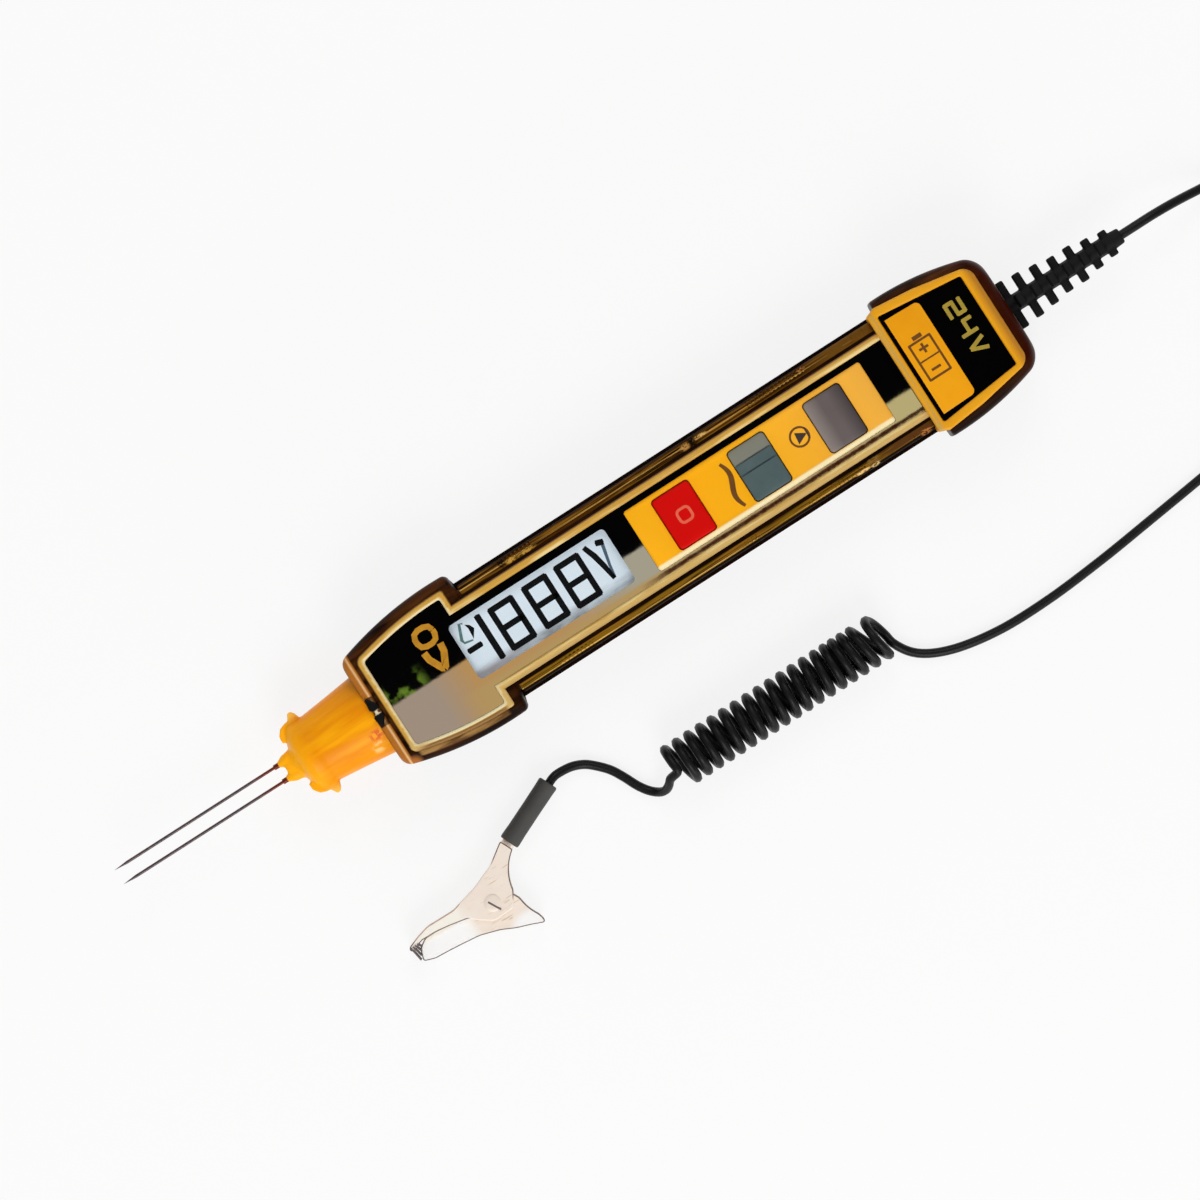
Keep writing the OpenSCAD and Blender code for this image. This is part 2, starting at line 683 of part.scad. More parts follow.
module cell(side) {
    color([0.75, 0.75, 0.77]) {
        translate([door_c, side * cell_y, door_t + 0.1]) cylinder(h = cell_h - 0.6, r = cell_r);
        translate([door_c, side * cell_y, door_t + 0.1]) cylinder(h = cell_h, r = cell_r - 1.2);
    }
}

module cell_left() { cell(1); }
module cell_right() { cell(-1); }

module cell_contacts() {
    color([0.8, 0.8, 0.8])
    for (s = [-1, 1]) translate([door_c - 2, s * cell_y - 2, door_t + cell_h + 0.15]) {
        cube([4, 4, 0.4]);
        translate([1.5, 1.5, 0]) cube([1, 1, board_z - door_t - cell_h - 0.15]);
    }
}

module strain_relief() {
    color([0.13, 0.13, 0.14])
    difference() {
        union() {
            bar(end_x - wall - 0.05, relief_x, 0, axis_z, relief_r);
            bar(end_x - wall - 1.45, end_x - wall - 0.05, 0, axis_z, relief_r + 1.6);
            for (i = [0:len(lug_reach) - 1]) {
                x = end_x + 0.1 + i * lug_pitch;
                translate([x, -lug_reach[i], axis_z - 1.4]) cube([lug_t, 2 * lug_reach[i], 2.8]);
                if (i < len(lug_reach) - 1)
                    translate([x + lug_pitch / 2 + 0.2, -1.6, axis_z - lug_reach[i] + 0.2])
                        cube([lug_t - 0.3, 3.2, 2 * lug_reach[i] - 0.4]);
            }
        }
        bar(end_x - wall - 3, relief_x + cut, 0, axis_z, lead_r + fit);
    }
}

module lead_inner() {
    color([0.04, 0.04, 0.04]) bar(cap_x + 20.3, relief_x, 0, axis_z, lead_r);
}

module lead_to_coil() { color([0.04, 0.04, 0.04]) sweep(route_out, lead_r, 8); }

module coil() {
    color([0.04, 0.04, 0.04]) bar(coil_x[0], coil_x[1], coil_y, coil_z, coil_d / 2);
}

module lead_to_clip() { color([0.04, 0.04, 0.04]) sweep(route_in, lead_r, 8); }

// The clip's own plane: the pivot at the origin, the jaws towards -X
module in_clip(z = clip_z) {
    translate([pivot[0], pivot[1], z]) children();
}

// Along the clip's arm: from where the sleeve starts, outwards
module along_arm() {
    translate([boot_start[0], boot_start[1], clip_mid]) rotate([0, 90, arm_angle]) children();
}

// The upper jaw with its arm, and the lower jaw with its lever, each seen flat, pivot at the origin
rear_curve = [15.9, -1.6, 10.8];
fixed_outline = concat(
    [[-20, 1.5], [-17.4, 2.5], [-14.3, 3.3], [-7.9, 3.2], [-4.8, 4], [-1.6, 4.8], [3.7, 6.9], [8.4, 10.2]],
    [[9.6, 7.6]],
    arc([rear_curve[0], rear_curve[1]], rear_curve[2], 125, 172, 6),
    [[3.2, -3.2], [-1.5, -3.4], [-4.2, -1.6], [-5.9, 0.2], [-10.1, 1.05], [-13.2, 1.5], [-16.4, 1.5]],
    [for (i = [0:2]) each [[-16.8 - i * 0.9, -0.3 + i * 0.25], [-17.3 - i * 0.9, 1]]]);
lever_outline = concat(
    [[-18.9, -2.5], [-16.4, -3.4], [-13.3, -3.6], [-10.1, -3.9], [-5.9, -4.4], [-1.7, -5.7], [1.4, -7.2],
        [4.5, -8.3], [7.1, -9.4], [7.5, -8.8]],
    arc([rear_curve[0], rear_curve[1]], rear_curve[2] - 0.4, 212, 183, 4),
    [[3.4, 2], [0.8, 3.2], [-2.4, 2.6], [-4.6, 0.2], [-5.9, -0.9], [-10.1, -0.1], [-13.2, 0.3], [-16, 0.3]],
    [for (i = [0:2]) each [[-16.4 - i * 0.9, -0.6 - i * 0.2], [-16.9 - i * 0.9, 0.7 - i * 0.3]]]);

module clip_fixed_jaw() {
    color([0.93, 0.88, 0.83])
    difference() {
        union() {
            in_clip() difference() {
                linear_extrude(clip_t) polygon(fixed_outline);
                translate([0.15, -0.75, clip_sheet])
                    linear_extrude(clip_t - 2 * clip_sheet) polygon(fixed_outline);
            }
            along_arm() translate([0, 0, -1.2]) cylinder(h = 8.2, r = boot_bore - fit);
        }
        in_clip(-cut) cylinder(h = clip_t + 3 * cut, r = pivot_r + 0.02);
    }
}

module clip_lever_jaw() {
    color([0.93, 0.88, 0.83])
    in_clip(clip_z + clip_sheet + lever_gap) difference() {
        linear_extrude(clip_t - 2 * (clip_sheet + lever_gap)) polygon(lever_outline);
        translate([0.1, 0.75, clip_sheet])
            linear_extrude(clip_t - 2 * (2 * clip_sheet + lever_gap)) polygon(lever_outline);
        translate([0, 0, -cut]) cylinder(h = clip_t + 2 * cut, r = pivot_r + fit);
    }
}

module clip_pivot() {
    color([0.85, 0.8, 0.75])
    in_clip(0) {
        cylinder(h = clip_z + clip_t + 0.5, r = pivot_r);
        cylinder(h = clip_z - 0.02, r = 2.1);
        translate([0, 0, clip_z + clip_t + 0.02]) cylinder(h = 0.5, r = 2.1);
    }
}

module clip_spring() {
    color([0.6, 0.6, 0.6])
    in_clip(clip_mid) {
        for (i = [-1:1]) translate([0, 0, i * 0.55])
            rotate_extrude() translate([1.75, 0]) circle(r = 0.3, $fn = 16);
        for (leg = [[40, 0.55], [-54, -0.55]]) translate([0, 0, leg[1]]) rotate([0, 90, leg[0]])
            translate([0, 0, 1.75]) cylinder(h = 4.6, r = 0.28);
    }
}

module clip_boot() {
    color([0.28, 0.28, 0.27])
    along_arm() difference() {
        cylinder(h = boot_len, r = boot_d / 2);
        translate([0, 0, -cut]) cylinder(h = boot_len + 2 * cut, r = boot_bore);
    }
}

lower_shell();
upper_shell();
side_grip_left();
side_grip_right();
face_bezel();
face_panel();
display_window();
button_plate();
button_red();
button_teal();
button_grey();
end_cap();
cap_bezel();
cap_panel();
label_plate();
battery_door();
case_screws();
nose();
nose_latch();
needle_left();
needle_right();
strain_relief();
needle_sockets();
needle_wires();
nose_lamp();
circuit_board();
display_glass();
display_backlight();
display_contacts();
switch_housings();
plunger_red();
plunger_teal();
plunger_grey();
main_chip();
buzzer();
input_fuse();
crystal();
cell_left();
cell_right();
cell_contacts();
lead_inner();
lead_to_coil();
coil();
lead_to_clip();
clip_boot();
clip_fixed_jaw();
clip_lever_jaw();
clip_pivot();
clip_spring();
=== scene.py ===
# %% [markdown]
# # A circuit tester with two needles, a curly lead and a clip
#
# The tester lies on its back and is seen from straight above. The CAD model gives its frame: X runs from the
# needles to the lead, Z is up out of the face, and the table is at Z = 0. This lesson dresses that frame with
# moulded shells, a gold frame round a gloss face, a number display, soft buttons, an amber nose, a curly lead
# and a folded clip. Sizes are in millimetres until a mesh is made.

# %% Load the frame and keep its size
import math

import bmesh
import bpy
import numpy as np
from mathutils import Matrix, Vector


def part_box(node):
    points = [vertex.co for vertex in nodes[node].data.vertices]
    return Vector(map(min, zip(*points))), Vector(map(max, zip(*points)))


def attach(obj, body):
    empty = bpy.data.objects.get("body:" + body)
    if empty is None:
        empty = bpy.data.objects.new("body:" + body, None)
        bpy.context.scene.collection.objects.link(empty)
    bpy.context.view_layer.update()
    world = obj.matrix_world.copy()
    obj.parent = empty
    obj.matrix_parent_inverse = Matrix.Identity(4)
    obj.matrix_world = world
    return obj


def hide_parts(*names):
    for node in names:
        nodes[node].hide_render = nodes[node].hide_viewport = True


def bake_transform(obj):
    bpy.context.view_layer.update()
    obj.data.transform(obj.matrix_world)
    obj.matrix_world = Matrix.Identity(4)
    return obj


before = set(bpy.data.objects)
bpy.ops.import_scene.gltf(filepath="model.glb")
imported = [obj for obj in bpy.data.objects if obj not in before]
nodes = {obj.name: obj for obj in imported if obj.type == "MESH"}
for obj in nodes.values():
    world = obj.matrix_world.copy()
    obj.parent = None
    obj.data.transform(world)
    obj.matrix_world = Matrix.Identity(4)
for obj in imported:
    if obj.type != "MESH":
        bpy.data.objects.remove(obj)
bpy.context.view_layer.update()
scene = bpy.context.scene
scene.view_settings.view_transform = "Standard"
MM = 0.001

# %% [markdown]
# ## Camera
#
# The photograph looks straight down and is turned, so that the tester runs up to the right. The clip, about
# 48 mm long on such a tester, gives the scale. The lens is long, because the cap's top is drawn no larger
# than the table.

# %% Camera
CAMERA_TURN = math.radians(-32.66)
camera = bpy.data.objects.new("camera", bpy.data.cameras.new("camera"))
camera.data.lens = 300
camera.data.sensor_width = 36
camera.location = (-0.0085, -0.0055, 2.115)
camera.rotation_euler = (0, 0, CAMERA_TURN)
scene.collection.objects.link(camera)
scene.camera = camera
print("camera", round(camera.location.z, 3), "m up")

# %% [markdown]
# ## Light
#
# The light is a plain tent: a grey world, two large soft boxes and two low strips along the sides. A
# photograph of a studio could light the scene, but lamps of a known size are easier to place.

# %% World, soft boxes and low strips
WORLD_GREY = 0.42
world = bpy.data.worlds.new("studio")
scene.world = world
world.use_nodes = True
sky = world.node_tree.nodes["Background"].inputs
sky["Color"].default_value = (1, 1, 1, 1)
sky["Strength"].default_value = WORLD_GREY


def soft_box(name, place, aim, size, radiance):
    """A rectangular lamp of an even brightness: its power is radiance x pi x area."""
    lamp = bpy.data.lights.new(name, "AREA")
    lamp.shape = "RECTANGLE"
    lamp.size, lamp.size_y = size
    lamp.energy = radiance * math.pi * size[0] * size[1]
    box = bpy.data.objects.new(name, lamp)
    box.location = place
    box.rotation_euler = (Vector(place) - Vector(aim)).to_track_quat("Z", "Y").to_euler()
    scene.collection.objects.link(box)


soft_box("key", (-0.35, -0.85, 0.85), (0, 0, 0), (0.6, 0.6), 6.5)
soft_box("fill", (0.45, 0.75, 0.95), (0, 0, 0), (0.6, 0.6), 3.0)
soft_box("low_far", (0, 1.0, 0.22), (0, 0, 0.01), (1.1, 0.09), 3.5)
soft_box("low_near", (0, -1.0, 0.22), (0, 0, 0.01), (1.1, 0.09), 8.0)

# %% [markdown]
# ## Finishes
#
# Almost everything here is injection-moulded plastic or rubber. A moulded face is never quite even: its
# colour drifts a little where the melt cooled last, and a fine spark-eroded grain breaks up its gloss. A
# picture of worn plastic could show that, but it would have to be fitted to each piece. So one function makes
# it from two noises in Object coordinates, a soft one for the drift and a fine one for the grain. Wear, dirt,
# painted light and painted shade are further colours, each laid over the finish by a product of shares, which
# say where each lies.


# %% A helper for nodes, and one for colours
def add(tree, kind, inputs=None, **settings):
    """Adds one shader node. settings are its properties, inputs are plain values or sockets that feed it."""
    made = tree.nodes.new("ShaderNode" + kind)
    for name, value in settings.items():
        setattr(made, name, value)
    for name, value in (inputs or {}).items():
        if isinstance(value, bpy.types.NodeSocket):
            tree.links.new(value, made.inputs[name])
        else:
            made.inputs[name].default_value = value
    return made


def colour(hex_code):
    """A linear colour from an sRGB hex code: each part c becomes ((c + 0.055) / 1.055) to the power 2.4."""
    parts = [int(hex_code[i : i + 2], 16) / 255 for i in (1, 3, 5)]
    return [((c + 0.055) / 1.055) ** 2.4 if c > 0.04045 else c / 12.92 for c in parts] + [1.0]


print("mid grey is", [round(c, 3) for c in colour("#808080")[:3]])


# %% A moulded finish
def moulded(name, base, drift, size, gloss=(0.4, 0.5), grain=0.4, relief=0.003, specular=0.5, **values):
    """The colour goes from base to drift by a noise of size mm. A noise of grain mm moves the roughness
    between the two gloss values and lifts the surface by relief mm. values go on the shader's own sockets."""
    material = bpy.data.materials.new(name)
    material.use_nodes = True
    tree = material.node_tree
    shader = tree.nodes["Principled BSDF"].inputs
    place = add(tree, "TexCoord").outputs["Object"]
    cloud = add(tree, "TexNoise", {"Vector": place, "Scale": 1 / (size * MM), "Detail": 3.0}).outputs["Fac"]
    spark = add(tree, "TexNoise", {"Vector": place, "Scale": 1 / (grain * MM), "Detail": 2.0}).outputs["Fac"]
    mixed = add(tree, "Mix", {0: cloud, 6: colour(base), 7: colour(drift)}, data_type="RGBA")
    matt = add(tree, "MapRange", {"Value": spark, "To Min": gloss[0], "To Max": gloss[1]})
    bump = add(tree, "Bump", {"Height": spark, "Distance": relief * MM, "Strength": 1.0})
    tree.links.new(mixed.outputs[2], shader["Base Color"])
    tree.links.new(matt.outputs[0], shader["Roughness"])
    tree.links.new(bump.outputs[0], shader["Normal"])
    for socket, value in {"Specular_IOR_Level": specular, **values}.items():
        shader[socket.replace("_", " ")].default_value = value
    return material


# %% Shares, and colours laid over a finish
def share(function):
    """A share is written down without a tree, and adds its nodes when it is called with one."""
    return lambda *values: lambda tree: function(tree, *values)


@share
def along(tree, axis, start, end):
    """Goes from 0 to 1 while an Object coordinate goes from start to end millimetres."""
    parts = add(tree, "SeparateXYZ", {"Vector": add(tree, "TexCoord").outputs["Object"]})
    reach = {"Value": parts.outputs[axis], "From Min": start * MM, "From Max": end * MM}
    return add(tree, "MapRange", reach).outputs[0]


@share
def across(tree, start, end):
    """Goes from 0 to 1 while the piece's attribute across goes from start to end."""
    kept = add(tree, "Attribute", attribute_name="across").outputs["Fac"]
    return add(tree, "MapRange", {"Value": kept, "From Min": start, "From Max": end}).outputs[0]


@share
def patches(tree, size, start, end, long_x=1, long_y=1, long_z=1):
    """Is 1 in soft patches of about size mm: a noise, cut between start and end. The last three say how many
    times longer they are along each axis."""
    scale = [1 / (size * MM * factor) for factor in (long_x, long_y, long_z)]
    spread = add(tree, "Mapping", {"Vector": add(tree, "TexCoord").outputs["Object"], "Scale": scale})
    noise = add(tree, "TexNoise", {"Vector": spread.outputs[0], "Scale": 1.0, "Detail": 3.0}).outputs["Fac"]
    return add(tree, "MapRange", {"Value": noise, "From Min": start, "From Max": end}).outputs[0]


@share
def spot(tree, centre, reach):
    """Is 1 at a centre and fades to 0 on an ellipsoid with half axes reach, all in mm."""
    place = {"Location": [-c / r for c, r in zip(centre, reach)], "Scale": [1 / (r * MM) for r in reach]}
    about = add(tree, "Mapping", {"Vector": add(tree, "TexCoord").outputs["Object"], **place})
    far = add(tree, "VectorMath", {0: about.outputs[0]}, operation="LENGTH").outputs["Value"]
    return add(tree, "MapRange", {"Value": far, "From Min": 1.0, "From Max": 0.5}).outputs[0]


@share
def product(tree, *factors):
    """Multiplies its factors: other shares, sockets of the same tree or plain numbers."""
    total, *others = [factor(tree) if callable(factor) else factor for factor in factors]
    for other in others:
        total = add(tree, "Math", {0: total, 1: other}, operation="MULTIPLY").outputs[0]
    return total


def band(axis, low, high, edge):
    """Is 1 between two places along an axis and falls to 0 over an edge on each side of them."""
    return product(along(axis, low - edge, low), along(axis, high + edge, high))


def tint(material, *layers):
    """Lays colours over a finish in turn. Each layer is a hex code and the factors of its share."""
    tree = material.node_tree
    base = tree.nodes["Principled BSDF"].inputs["Base Color"]
    for hex_code, *factors in layers:
        mix = {0: product(*factors)(tree), 6: base.links[0].from_socket, 7: colour(hex_code)}
        tree.links.new(add(tree, "Mix", mix, data_type="RGBA").outputs[2], base)


# %% [markdown]
# ## The lead
#
# One lead runs from the strain relief down to the table, round in a wide bow, through a curly part and on to
# the clip. It is extruded as a straight cord, wound on a rod and baked there, which is why the turns lean
# where the coil is pulled. It could be a swept mesh. A curve with a round bevel was chosen, since its section
# stays the same everywhere: one line through listed points, with a helix between them.

# %% The points of the lead
ROUTE_OUT = [
    [124.4, 0, 9.5], [129, 0, 9.5], [133, 0, 9], [138, -0.2, 7.2], [143, -0.6, 4.6], [148, -1.2, 2.2],
    [153, -2.6, 1.1], [159, -6.5, 1], [163, -13, 1], [164.5, -21, 1], [162.5, -30, 1], [157, -38, 1],
    [149, -44, 1], [139, -48, 1], [127, -50.5, 1], [113, -52.3, 1], [99, -54, 1], [85, -55.6, 1],
    [71, -56.6, 1], [59, -56.4, 1], [49, -54.6, 1], [43.4, -52.2, 1], [40.6, -49.8, 1.05],
]
ROUTE_IN = [
    [-16.4, -45.3, 7.3], [-17.3, -46.2, 5.6], [-18.7, -46.8, 3.4], [-20.2, -46.2, 1.7], [-21.6, -44.9, 1.1],
    [-23, -42.8, 1], [-24.4, -39.8, 1], [-25.9, -37.1, 1], [-27.8, -34.9, 1], [-30, -33, 1.1],
    [-32.4, -31.95, 1.5], [-34.7, -31.6, 2.2], [-36.8, -31.65, 2.85], [-38.95, -32.5, 3.1], [-41, -33.4, 3.2],
    [-43.3, -34.45, 3.2],
]
LEAD_D = 2.0
COIL_Y, COIL_Z, COIL_R = -43.8, 5.45, 4.42
TURNS, PER_TURN = 18, 16
FIRST_X, LAST_X = 38.6, -14.2

# The helix runs about a line along X. Its pitch is a little wider at first, and each turn leans: x moves by
# the lean times y, and the lean grows towards both ends of the coil.
angle = np.radians(np.linspace(-124, 100 + 360 * TURNS, PER_TURN * TURNS))
part = np.linspace(0, 1, len(angle))
lean = 0.03 + 0.42 * np.clip(1 - part / 0.3, 0, 1) ** 1.3 + 0.12 * np.clip((part - 0.6) / 0.4, 0, 1)
loose = 0.54 * np.sin(np.clip(part / 0.25, 0, 1) * np.pi)
y = COIL_R * np.cos(angle)
leant = lean * (y + COIL_R * 0.55 * (1 - part)) * np.minimum(1, part * 25)
x = FIRST_X + (LAST_X - FIRST_X) * part - leant - loose
helix = np.stack([x, COIL_Y + y, COIL_Z + COIL_R * np.sin(angle)], -1)


def smooth_line(points, step):
    """A Catmull-Rom curve through the points, with knots at the square root of the chords, about step apart.
    Each stretch comes from four points by three rounds of mixing neighbours."""
    p = np.vstack([[2 * points[0] - points[1]], points, [2 * points[-1] - points[-2]]])
    knot = np.concatenate([[0], np.cumsum(np.sqrt(np.linalg.norm(np.diff(p, axis=0), axis=1)))])
    lines = []
    for i in range(len(p) - 3):
        count = max(2, int(np.ceil(np.linalg.norm(p[i + 2] - p[i + 1]) / step)))
        t = np.linspace(knot[i + 1], knot[i + 2], count, endpoint=False)[:, None]
        mixed = p[i : i + 4]
        for first, gap in ((i, 1), (i, 2), (i + 1, 1)):
            low = knot[first : first + len(mixed) - 1]
            high = knot[first + gap :]
            mixed = [((b - t) * m + (t - a) * n) / (b - a) for a, b, m, n in zip(low, high, mixed, mixed[1:])]
        lines.append(mixed[0])
    return np.vstack(lines + [points[-1:]])


lead_line = smooth_line(np.vstack([ROUTE_OUT, helix, ROUTE_IN]), 0.7)


# %% Dressing a piece
def dress(piece, material, slot, *stands_for, body="tester"):
    """Gives a finished piece its material, its place on a CAD body and the CAD nodes that it stands
    for. slot is not used."""
    piece.data.materials.clear()
    piece.data.materials.append(material)
    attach(piece, body)
    if stands_for:
        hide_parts(*stands_for)
    print(piece.name, "is made, in", material.name)


# %% The lead as a curve
# Stiff black PVC round the lead: smooth from the extruder, with a soft sheen
lead_pvc = moulded("lead_soft_pvc", "#030303", "#0a0a0b", 7, (0.34, 0.48), 0.3, 0.003, 0.22)
curve = bpy.data.curves.new("lead", "CURVE")
curve.dimensions = "3D"
curve.bevel_depth = LEAD_D / 2 * MM
curve.bevel_resolution = 2
curve.use_fill_caps = True
spline = curve.splines.new("POLY")
spline.points.add(len(lead_line) - 1)
spline.points.foreach_set("co", np.column_stack([lead_line * MM, np.ones(len(lead_line))]).ravel())
lead = bpy.data.objects.new("lead", curve)
scene.collection.objects.link(lead)
dress(lead, lead_pvc, "rubber_black", "lead_to_coil", "coil", "lead_to_clip")

# %% [markdown]
# ## Meshes from numpy grids
#
# A new piece is a surface over a grid of points: a row for each station and a column for each point of its
# section, all worked out at once with numpy. The points could be placed by hand in edit mode, but then every
# change of a size would mean placing them again.


# %% Meshes from numpy grids
def shade(mesh, angle):
    """Smooth faces, with a sharp line wherever two faces meet at more than angle degrees."""
    mesh.shade_smooth()
    mesh.set_sharp_from_angle(angle=math.radians(angle))


def linked(name, work, mesh, angle):
    """Ends the work in the mesh and links an object of it."""
    work.to_mesh(mesh)
    work.free()
    shade(mesh, angle)
    piece = bpy.data.objects.new(name, mesh)
    scene.collection.objects.link(piece)
    return piece


def mesh_piece(name, points, faces, angle=35, across=None):
    """An object from points in millimetres and lists of point numbers. Points within 0.0002 mm are merged and
    faces turned out. across is a number for each point, kept for a pattern that follows the surface."""
    mesh = bpy.data.meshes.new(name)
    mesh.from_pydata((np.asarray(points, float) * MM).tolist(), [], faces)
    if across is not None:
        kept = mesh.attributes.new("across", "FLOAT", "POINT")
        kept.data.foreach_set("value", np.ravel(across).astype(float))
    work = bmesh.new()
    work.from_mesh(mesh)
    bmesh.ops.remove_doubles(work, verts=work.verts, dist=2e-7)
    bmesh.ops.dissolve_degenerate(work, edges=work.edges, dist=1e-8)
    bmesh.ops.recalc_face_normals(work, faces=work.faces)
    return linked(name, work, mesh, angle)


def surface(name, grid, loop=False, angle=35, across=None):
    """The surface through grid[i, j], a point for each row i and column j: one quad for each cell. The last
    column joins the first. In a loop the last row joins the first too, else lids close the end rows."""
    rows, columns = grid.shape[:2]
    number = np.arange(rows * columns).reshape(rows, columns)
    number = np.hstack([number, number[:, :1]])
    if loop:
        number = np.vstack([number, number[:1]])
    cells = np.stack([number[:-1, :-1], number[1:, :-1], number[1:, 1:], number[:-1, 1:]], -1)
    faces = cells.reshape(-1, 4).tolist()
    if not loop:
        faces += number[[0, -1], :-1].tolist()
    return mesh_piece(name, grid.reshape(-1, 3), faces, angle, across)


# %% [markdown]
# ## Floor and studio card
#
# The tester lies on white paper, which keeps its shadow. A gloss face shows what hangs over it, so a studio
# card hangs above the camera: black over the far half of the face, softly glowing over its near half, with a
# straight edge between them, as in the photograph. The glow could be painted on the face, but then it
# wouldn't move with the eye as a reflection does.


# %% Floor
def bare_tree(piece, name):
    """A new material on a piece of the set, and its node tree, where the usual shader is taken out."""
    material = bpy.data.materials.new(name)
    material.use_nodes = True
    material.node_tree.nodes.remove(material.node_tree.nodes["Principled BSDF"])
    piece.data.materials.append(material)
    return material.node_tree


FLOOR_HALF, FLOOR_Z = 9000, -0.05
corners = [[FLOOR_HALF * x, FLOOR_HALF * y, FLOOR_Z] for x, y in ((-1, -1), (1, -1), (1, 1), (-1, 1))]
floor = mesh_piece("floor", corners, [[0, 1, 2, 3]])
# White paper that is lit where it is seen, and keeps the shadows
tree = bare_tree(floor, "white_paper")
ray = add(tree, "LightPath").outputs
seen = ray["Is Camera Ray"]
for kind in ("Is Glossy Ray", "Is Transmission Ray"):
    seen = add(tree, "Math", {0: seen, 1: ray[kind]}, operation="MAXIMUM").outputs[0]
paper = add(tree, "BsdfDiffuse", {"Color": (0.86, 0.86, 0.86, 1)})
glow = add(tree, "Emission", {"Color": (1, 1, 1, 1), "Strength": 1.0})
seen_paper = add(tree, "MixShader", {0: product(seen, 0.82)(tree), 1: paper.outputs[0], 2: glow.outputs[0]})
tree.links.new(seen_paper.outputs[0], tree.nodes["Material Output"].inputs["Surface"])
print("the floor is at", FLOOR_Z, "mm")


# %% Plates and boxes
def shrunk(outline, inset):
    """The outline drawn towards its middle, by inset on each of its four sides."""
    low, high = outline.min(0), outline.max(0)
    middle, half = (low + high) / 2, (high - low) / 2
    return middle + (outline - middle) * (1 - inset / half)


def plate(name, outline, profile, inward=shrunk, angle=35):
    """A closed plate. Each step of profile is (inset, height): the outline drawn in by inset, at that height.
    The attribute across is the inset."""
    rings = [np.insert(inward(outline, inset), 2, z, axis=1) for inset, z in profile]
    insets = np.repeat([inset for inset, _ in profile], len(outline))
    return surface(name, np.array(rings), angle=angle, across=insets)


def block(name, low, high):
    """A plain box from its lowest to its highest corner."""
    outline = np.array([low[:2], (high[0], low[1]), high[:2], (low[0], high[1])], float)
    return plate(name, outline, [(0, low[2]), (0, high[2])])


# %% Studio card
# At 2.987 m a point (x, y) of the card is mirrored on the face at ((x - 12) / 2.416, (y - 7.8) / 2.416) mm
GLOW = 25
card = block("studio_card", (-200, -110, 2987), (260, 110, 2987.5))
tree = bare_tree(card, "studio_card_paper")
by_the_cap = along("X", 150, 160)
ends = {0: by_the_cap(tree), 2: along("Y", 6.4, 5.2)(tree), 3: along("Y", 0.4, -0.8)(tree)}
near = add(tree, "Mix", ends, data_type="FLOAT").outputs[0]
CARD_TONES = (
    ("#b38c58", along("X", -104, -84)),
    ("#a29c89", along("X", -30, 12)),
    ("#b0925e", product(along("Y", -9, -11), along("X", -96, -84))),
    ("#b6a874", by_the_cap),
    ("#3a1a0c", product(band("Y", -12.9, -11.3, 0.4), along("X", 12, 30))),
)
tone = colour("#9e8d7c")
for hex_code, where in CARD_TONES:
    tone = add(tree, "Mix", {0: where(tree), 6: tone, 7: colour(hex_code)}, data_type="RGBA").outputs[2]
glow = product(near, along("X", 184, 182), GLOW)(tree)
light = add(tree, "Emission", {"Color": tone, "Strength": glow})
leaves = product(along("X", -102, -108), along("Y", 18, 10), patches(8, 0.5, 0.6), along("Y", 5.2, 6.4), GLOW)
leaf_light = add(tree, "Emission", {"Color": colour("#5f7a26"), "Strength": leaves(tree)})
whole = add(tree, "AddShader", {0: light.outputs[0], 1: leaf_light.outputs[0]})
tree.links.new(whole.outputs[0], tree.nodes["Material Output"].inputs["Surface"])
print("the card has", len(CARD_TONES) + 1, "tones")

# %% [markdown]
# ## The moulded body
#
# The body is two shells of dark ABS that meet at the needles' height. Seen from above, a wide bulge in front
# steps down to a straight waist. Boxes with bevelled edges could make it, but not the bulge's even curve. So
# each shell is a row of round-cornered sections along X, joined into one skin, with the room inside cut out
# of it.


# %% Stations and sections of the body
def cad(node, side, axis):
    """A CAD node's lowest or highest place along an axis, in millimetres."""
    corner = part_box(node)[("lowest", "highest").index(side)]
    return round(corner["XYZ".index(axis)] / MM, 2)


BODY_X, STEP_X = cad("lower_shell", "lowest", "X"), -33.05
CAP_X, END_X = cad("end_cap", "lowest", "X"), cad("end_cap", "highest", "X")
RELIEF_X, SHELL_TOP = cad("strain_relief", "highest", "X"), cad("upper_shell", "highest", "Z")
SPLIT_Z, WALL, WAIST_HALF, CORE_HALF = 9.5, 1.6, 14.05, 12.3
QUARTER = np.linspace(0, np.pi / 2, 9)


def bulge_half(x):
    """Half width of the front bulge: widest 4.5 mm before the step, and at a distance d from there less by d
    squared / (2 x 74), as an arc of 74 mm radius."""
    return 16.75 - (x + 37.55) ** 2 / 148


def cap_half(x):
    """Half width of the end cap: widest 2 mm behind its mouth, and at a distance d from there less by d
    squared / (2 x 63), as an arc of 63 mm radius."""
    return 16.65 - (x - 74.45) ** 2 / 126


def stood(*values):
    """The values as columns of one length, for the sections at many stations at once."""
    return [v[:, None] for v in np.broadcast_arrays(*values)]


def half_rings(x, half, base, far, radius, lip):
    """Half cross-sections: from the parting edge, broken by a small lip, straight up or down the side, round
    a quarter circle of that radius, across, and back the same way on the other side."""
    x, half, base, far, radius = stood(x, half, base, far, radius)
    side = np.sign(far - base)
    y = np.concatenate([half - lip, half, half - radius + radius * np.cos(QUARTER)], 1)
    z = np.concatenate([base, base + side * lip, far - side * radius + side * radius * np.sin(QUARTER)], 1)
    y = np.concatenate([y, -y[:, ::-1]], 1)
    z = np.concatenate([z, z[:, ::-1]], 1)
    return np.stack([x + 0 * y, y, z], -1)


def half_skin(name, *spans, lip=0.12):
    """A surface over spans of half cross-sections, one after another along X."""
    return surface(name, np.vstack([half_rings(*span, lip) for span in spans]))


